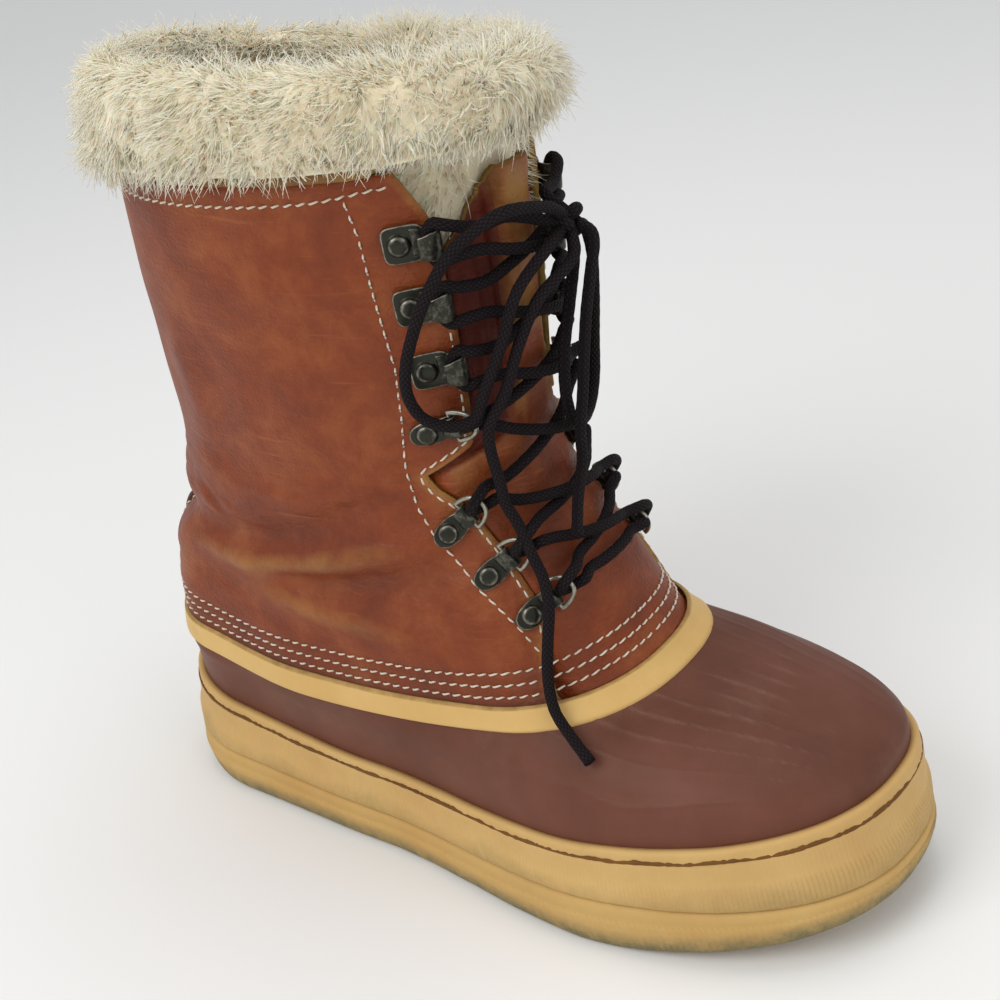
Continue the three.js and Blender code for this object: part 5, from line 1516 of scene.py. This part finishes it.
@dataclass
class Lace:
    """One braided lace through hooks and rings, with its knot, two loops and two hanging ends."""

    form: BootForm
    finishes: Finishes
    hardware: Hardware
    diameter: float = 4.0
    lift: float = 2.22
    clear: float = 0.95
    height_over_skin: float = 3.5
    sheet_metal: float = 1.0
    knot: tuple = (42.5, 10.0, 239.0)
    loops: dict = field(default_factory=lambda: {
        "lace_loop_outer": [
            (43.5, 3.5, 244), (44.2, -2.2, 247.4), (41.3, -23.8, 252.4), (34.6, -31.4, 247.9),
            (29.5, -36.1, 243.1), (24, -41, 233.9), (17.7, -45.2, 220.3), (12.6, -47.5, 204.9),
            (11.9, -46.6, 195.2),
            (14.2, -43.6, 187.8), (20.4, -38.6, 183.9), (26, -33.3, 184.8), (30, -30.3, 194.4),
            (35.4, -25.4, 208.8), (40.3, -19.1, 225.5), (44, -4, 235.4), (43.4, 1.7, 236.7)],
        "lace_loop_inner": [
            (43.6, 9.6, 231.6), (44, 8.6, 227), (43.9, 3.4, 214), (43.4, -2.4, 199.1), (42.9, -4.2, 184),
            (42.5, -2, 174.6), (40.5, 7, 168.5), (38.5, 16, 171), (36.5, 23, 178), (35.5, 27, 190),
            (36, 29.5, 206),
            (38, 28, 222), (40.5, 21.5, 233), (41.2, 17.3, 235.2)]})
    ends: dict = field(default_factory=lambda: {
        "lace_end_outer": [
            (46.4, 6, 233.8), (48, 3, 230), (43.6, -13.5, 220.6), (38.8, -20.5, 207.4), (35, -26, 193),
            (29.8, -30.9, 181.3), (28.6, -30.5, 173.7), (29.1, -29.1, 161.5), (30.5, -29.2, 152.3),
            (34.1, -28.6, 144.6),
            (38.5, -29.9, 135.4), (43, -30.9, 126), (45.5, -33.7, 117), (45.8, -37.1, 107.1),
            (45.6, -40, 92.9), (48.5, -42.7, 82), (55.8, -46, 76.4), (65.9, -50, 70.5)],
        "lace_end_inner": [
            (49.2, 11.7, 235.7), (50.9, 11, 233), (50.6, 7, 222), (49.9, 3, 210), (49.5, 0, 198.4),
            (48.8, -3, 183.8), (47, -4.4, 170.9), (45.8, -3.8, 159.1), (47.1, -11, 148), (49.1, -17, 137.5)]})

    def strand_end(self, row: LacingRow, lift: float) -> tuple[float, float]:
        """Height and turn where a strand stops in front of a row's hardware."""
        level, turn = self.hardware.seat(row)
        ring = self.hardware.clip_long / 2 + self.hardware.ring_long + self.hardware.ring_wire / 2
        hook = self.hardware.hook_reach + self.sheet_metal / 2
        c, s = math.cos(math.radians(row.tilt)), math.sin(math.radians(row.tilt))
        reach = (hook if row.kind is Fastening.HOOK else ring) + self.clear + self.diameter / 2 * s
        step = self.form.skin(level, turn + 0.02) - self.form.skin(level, turn)
        height = float(self.form.skin(level, turn)[2]) + lift * c + reach * s
        return height, turn + (reach * c - lift * s) / (float(np.linalg.norm(step)) / 0.02)

    def strand(self, outer: tuple[LacingRow, float], inner: tuple[LacingRow, float], bulge: float) -> Array:
        """Seven points over the tongue from an outer end to an inner end, raised in the middle."""
        z0, t0 = self.strand_end(*outer)
        z1, t1 = self.strand_end(*inner)
        share = np.linspace(0, 1, 7)
        turn = t0 + (2 * math.pi - t1 - t0) * share
        level = self.form.level_at(z0 + (z1 - z0) * share, turn)
        over = self.diameter / 2 + self.height_over_skin + bulge * np.sin(math.pi * share) ** 2
        return self.form.at(level, turn, over)

    def wrap(self, row: LacingRow, side: Side) -> Array:
        """Run of the lace round a hook or through a ring, from its lower strand to its upper one."""
        if row.kind is Fastening.HOOK:
            local = [(13.6, -5.8, 5.0), (10.6, -6.6, 4.4), (8.4, -4.6, 3.8), (7.8, 0, 3.7), (8.4, 4.6, 3.8),
                     (10.6, 6.6, 4.4), (13.6, 5.8, 5.0)]
        else:
            local = [(20.5, -2.8, 4.0), (17.8, -2.3, 2.9), (14.6, -1.5, 2.8), (12.0, -0.3, 4.4),
                     (12.2, 0.7, 7.0), (14.8, 1.6, 8.6), (18.2, 2.3, 8.0), (21.0, 2.8, 6.6)]
        origin, axes = self.hardware.frame_at(row, side)
        return origin + np.array(local) @ axes

    def half(self, start: Side) -> Array:
        """Half of the lacing, from the bottom bar's middle up one zigzag to the top bar's middle."""
        bottom = self.strand((ROWS[-1], -self.lift), (ROWS[-1], -self.lift), 0.0)
        points = [bottom[3:6] if start is Side.INNER else bottom[3:0:-1]]
        side = start
        for i in range(len(ROWS) - 1, 0, -1):
            points.append(self.wrap(ROWS[i], side))
            low, high = (ROWS[i], self.lift), (ROWS[i - 1], -self.lift)
            if side is Side.INNER:
                run = self.strand(high, low, self.diameter * 0.9)[::-1]
            else:
                run = self.strand(low, high, 0.0)
            points.append(run[1:-1])
            side = Side.OUTER if side is Side.INNER else Side.INNER
        points.append(self.wrap(ROWS[0], side))
        top = self.strand((ROWS[0], self.lift), (ROWS[0], self.lift), 0.0)
        points.append(top[1:3] if side is Side.OUTER else top[5:3:-1])
        points.append(np.array([self.knot]) + (0, side.value * 3.0, 0))
        return np.concatenate(points)

    def cord_piece(self, name: str, path: Array, node: tuple[str, ...],
                   frayed: bool = False) -> bpy.types.Object:
        """Braided cord along a path, its cut end a little swollen."""
        share = np.arange(len(path))[::-1]
        radius = np.full(len(path), self.diameter / 2) * (1 + 0.02 * np.sin(np.arange(len(path)) * 1.7))
        if frayed:
            radius = radius * (1 + 0.12 * np.exp(-((share / 2.0) ** 2)))
        points, quads, uv = cord_surface(path, radius, 14)
        return make_piece(name, points, quads, [self.finishes.lace], node, uv=uv)

    def build(self) -> None:
        """Lacing, knot, loops and ends, each made as a braided cord piece."""
        run = np.concatenate([self.half(Side.OUTER)[::-1], self.half(Side.INNER)[1:]])
        nodes = tuple(f"lace_crossing_{i}" for i in range(1, len(ROWS))) + ("lace_bar_bottom", "lace_bar_top")
        self.cord_piece("braid_lacing", resample(run, 1.3), nodes)
        turn = np.linspace(0, 2 * math.pi, 13)
        trefoil = np.stack([-np.sin(3 * turn) * 2.6, (np.sin(turn) + 2 * np.sin(2 * turn)) * 1.75,
                            (np.cos(turn) - 2 * np.cos(2 * turn)) * 1.5], 1)
        knot = self.cord_piece("braid_knot", resample(trefoil + self.knot, 0.9), ("lace_knot",))
        middle = np.array(self.knot)
        for name, points in {**self.loops, **self.ends}.items():
            loop = name in self.loops
            route = np.array(points, float)
            inside = [middle + (route[0] - middle) * 0.45]
            route = np.vstack(inside + [route] + ([middle + (route[-1] - middle) * 0.45] if loop else []))
            path = resample(route, 1.3)
            piece = self.cord_piece(name.replace("lace", "braid"), path, (name,), not loop)


@dataclass
class Studio:
    """Camera at the photograph's angle, pale floor and soft light."""

    eye: tuple = (329.6, -401.8, 401.4)
    aim: tuple = (7.2, -3.2, 136.1)
    roll: float = -0.1564
    lens: float = 57.99

    def build_camera(self) -> None:
        """Camera from its eye and aim, rolled about its line of sight."""
        eye, aim = Vector(self.eye) * MM, Vector(self.aim) * MM
        ahead = (aim - eye).normalized()
        right = ahead.cross(Vector((0, 0, 1))).normalized()
        up = right.cross(ahead)
        c, s = math.cos(self.roll), math.sin(self.roll)
        right, up = right * c + up * s, up * c - right * s
        data = bpy.data.cameras.new("camera")
        data.lens = self.lens
        data.sensor_width = 36.0
        data.clip_start = 0.01
        camera = bpy.data.objects.new("camera", data)
        camera.matrix_world = Matrix.Translation(eye) @ Matrix((right, up, -ahead)).transposed().to_4x4()
        bpy.context.scene.collection.objects.link(camera)
        bpy.context.scene.camera = camera

    def build_floor(self) -> None:
        """Plain pale floor."""
        mesh = bpy.data.meshes.new("floor")
        mesh.from_pydata([(-3, -3, 0), (3, -3, 0), (3, 3, 0), (-3, 3, 0)], [], [(0, 1, 2, 3)])
        board = NodeWork("matte_white_board")
        mesh.materials.append(board.done({"Base Color": linear("#F4F3F0"), "Roughness": 0.9}))
        floor = bpy.data.objects.new("floor", mesh)
        bpy.context.scene.collection.objects.link(floor)

    def build_light(self) -> None:
        """White surround, a broad key over the camera's left and a weak fill on the right."""
        world = bpy.data.worlds.new("surround")
        world.use_nodes = True
        world.node_tree.nodes["Background"].inputs[0].default_value = (0.95, 0.97, 1.0, 1.0)
        world.node_tree.nodes["Background"].inputs[1].default_value = 0.62
        bpy.context.scene.world = world
        bpy.context.scene.view_settings.view_transform = "Standard"
        for name, place, size, power in (
                ("key", (-0.25, -1.1, 1.15), 0.9, 9.0),
                ("fill", (1.3, -0.2, 0.8), 1.0, 3.0),
                ("top", (0.1, 0.2, 1.5), 0.8, 4.0)):
            data = bpy.data.lights.new(name, "AREA")
            data.size = size
            data.energy = power
            light = bpy.data.objects.new(name, data)
            light.location = place
            light.rotation_euler = (Vector((0, 0, 0.12)) - Vector(place)).to_track_quat("-Z", "Y").to_euler()
            bpy.context.scene.collection.objects.link(light)


def main() -> None:
    """Builds the studio, the lace and then the boot's sub-assemblies."""
    logging.basicConfig(level=logging.INFO, format="%(name)s %(message)s")
    studio = Studio()
    studio.build_camera()
    finishes = Finishes()
    hardware = Hardware(FORM, finishes)
    Lace(FORM, finishes, hardware).build()
    hardware.build()
    tongue = Tongue(FORM, finishes)
    tongue.build()
    LeatherUpper(FORM, finishes, tongue).build()
    RubberShoe(FORM, finishes).build()
    FeltLiner(FORM, finishes).build()
    studio.build_floor()
    studio.build_light()


if __name__ == "__main__":
    main()
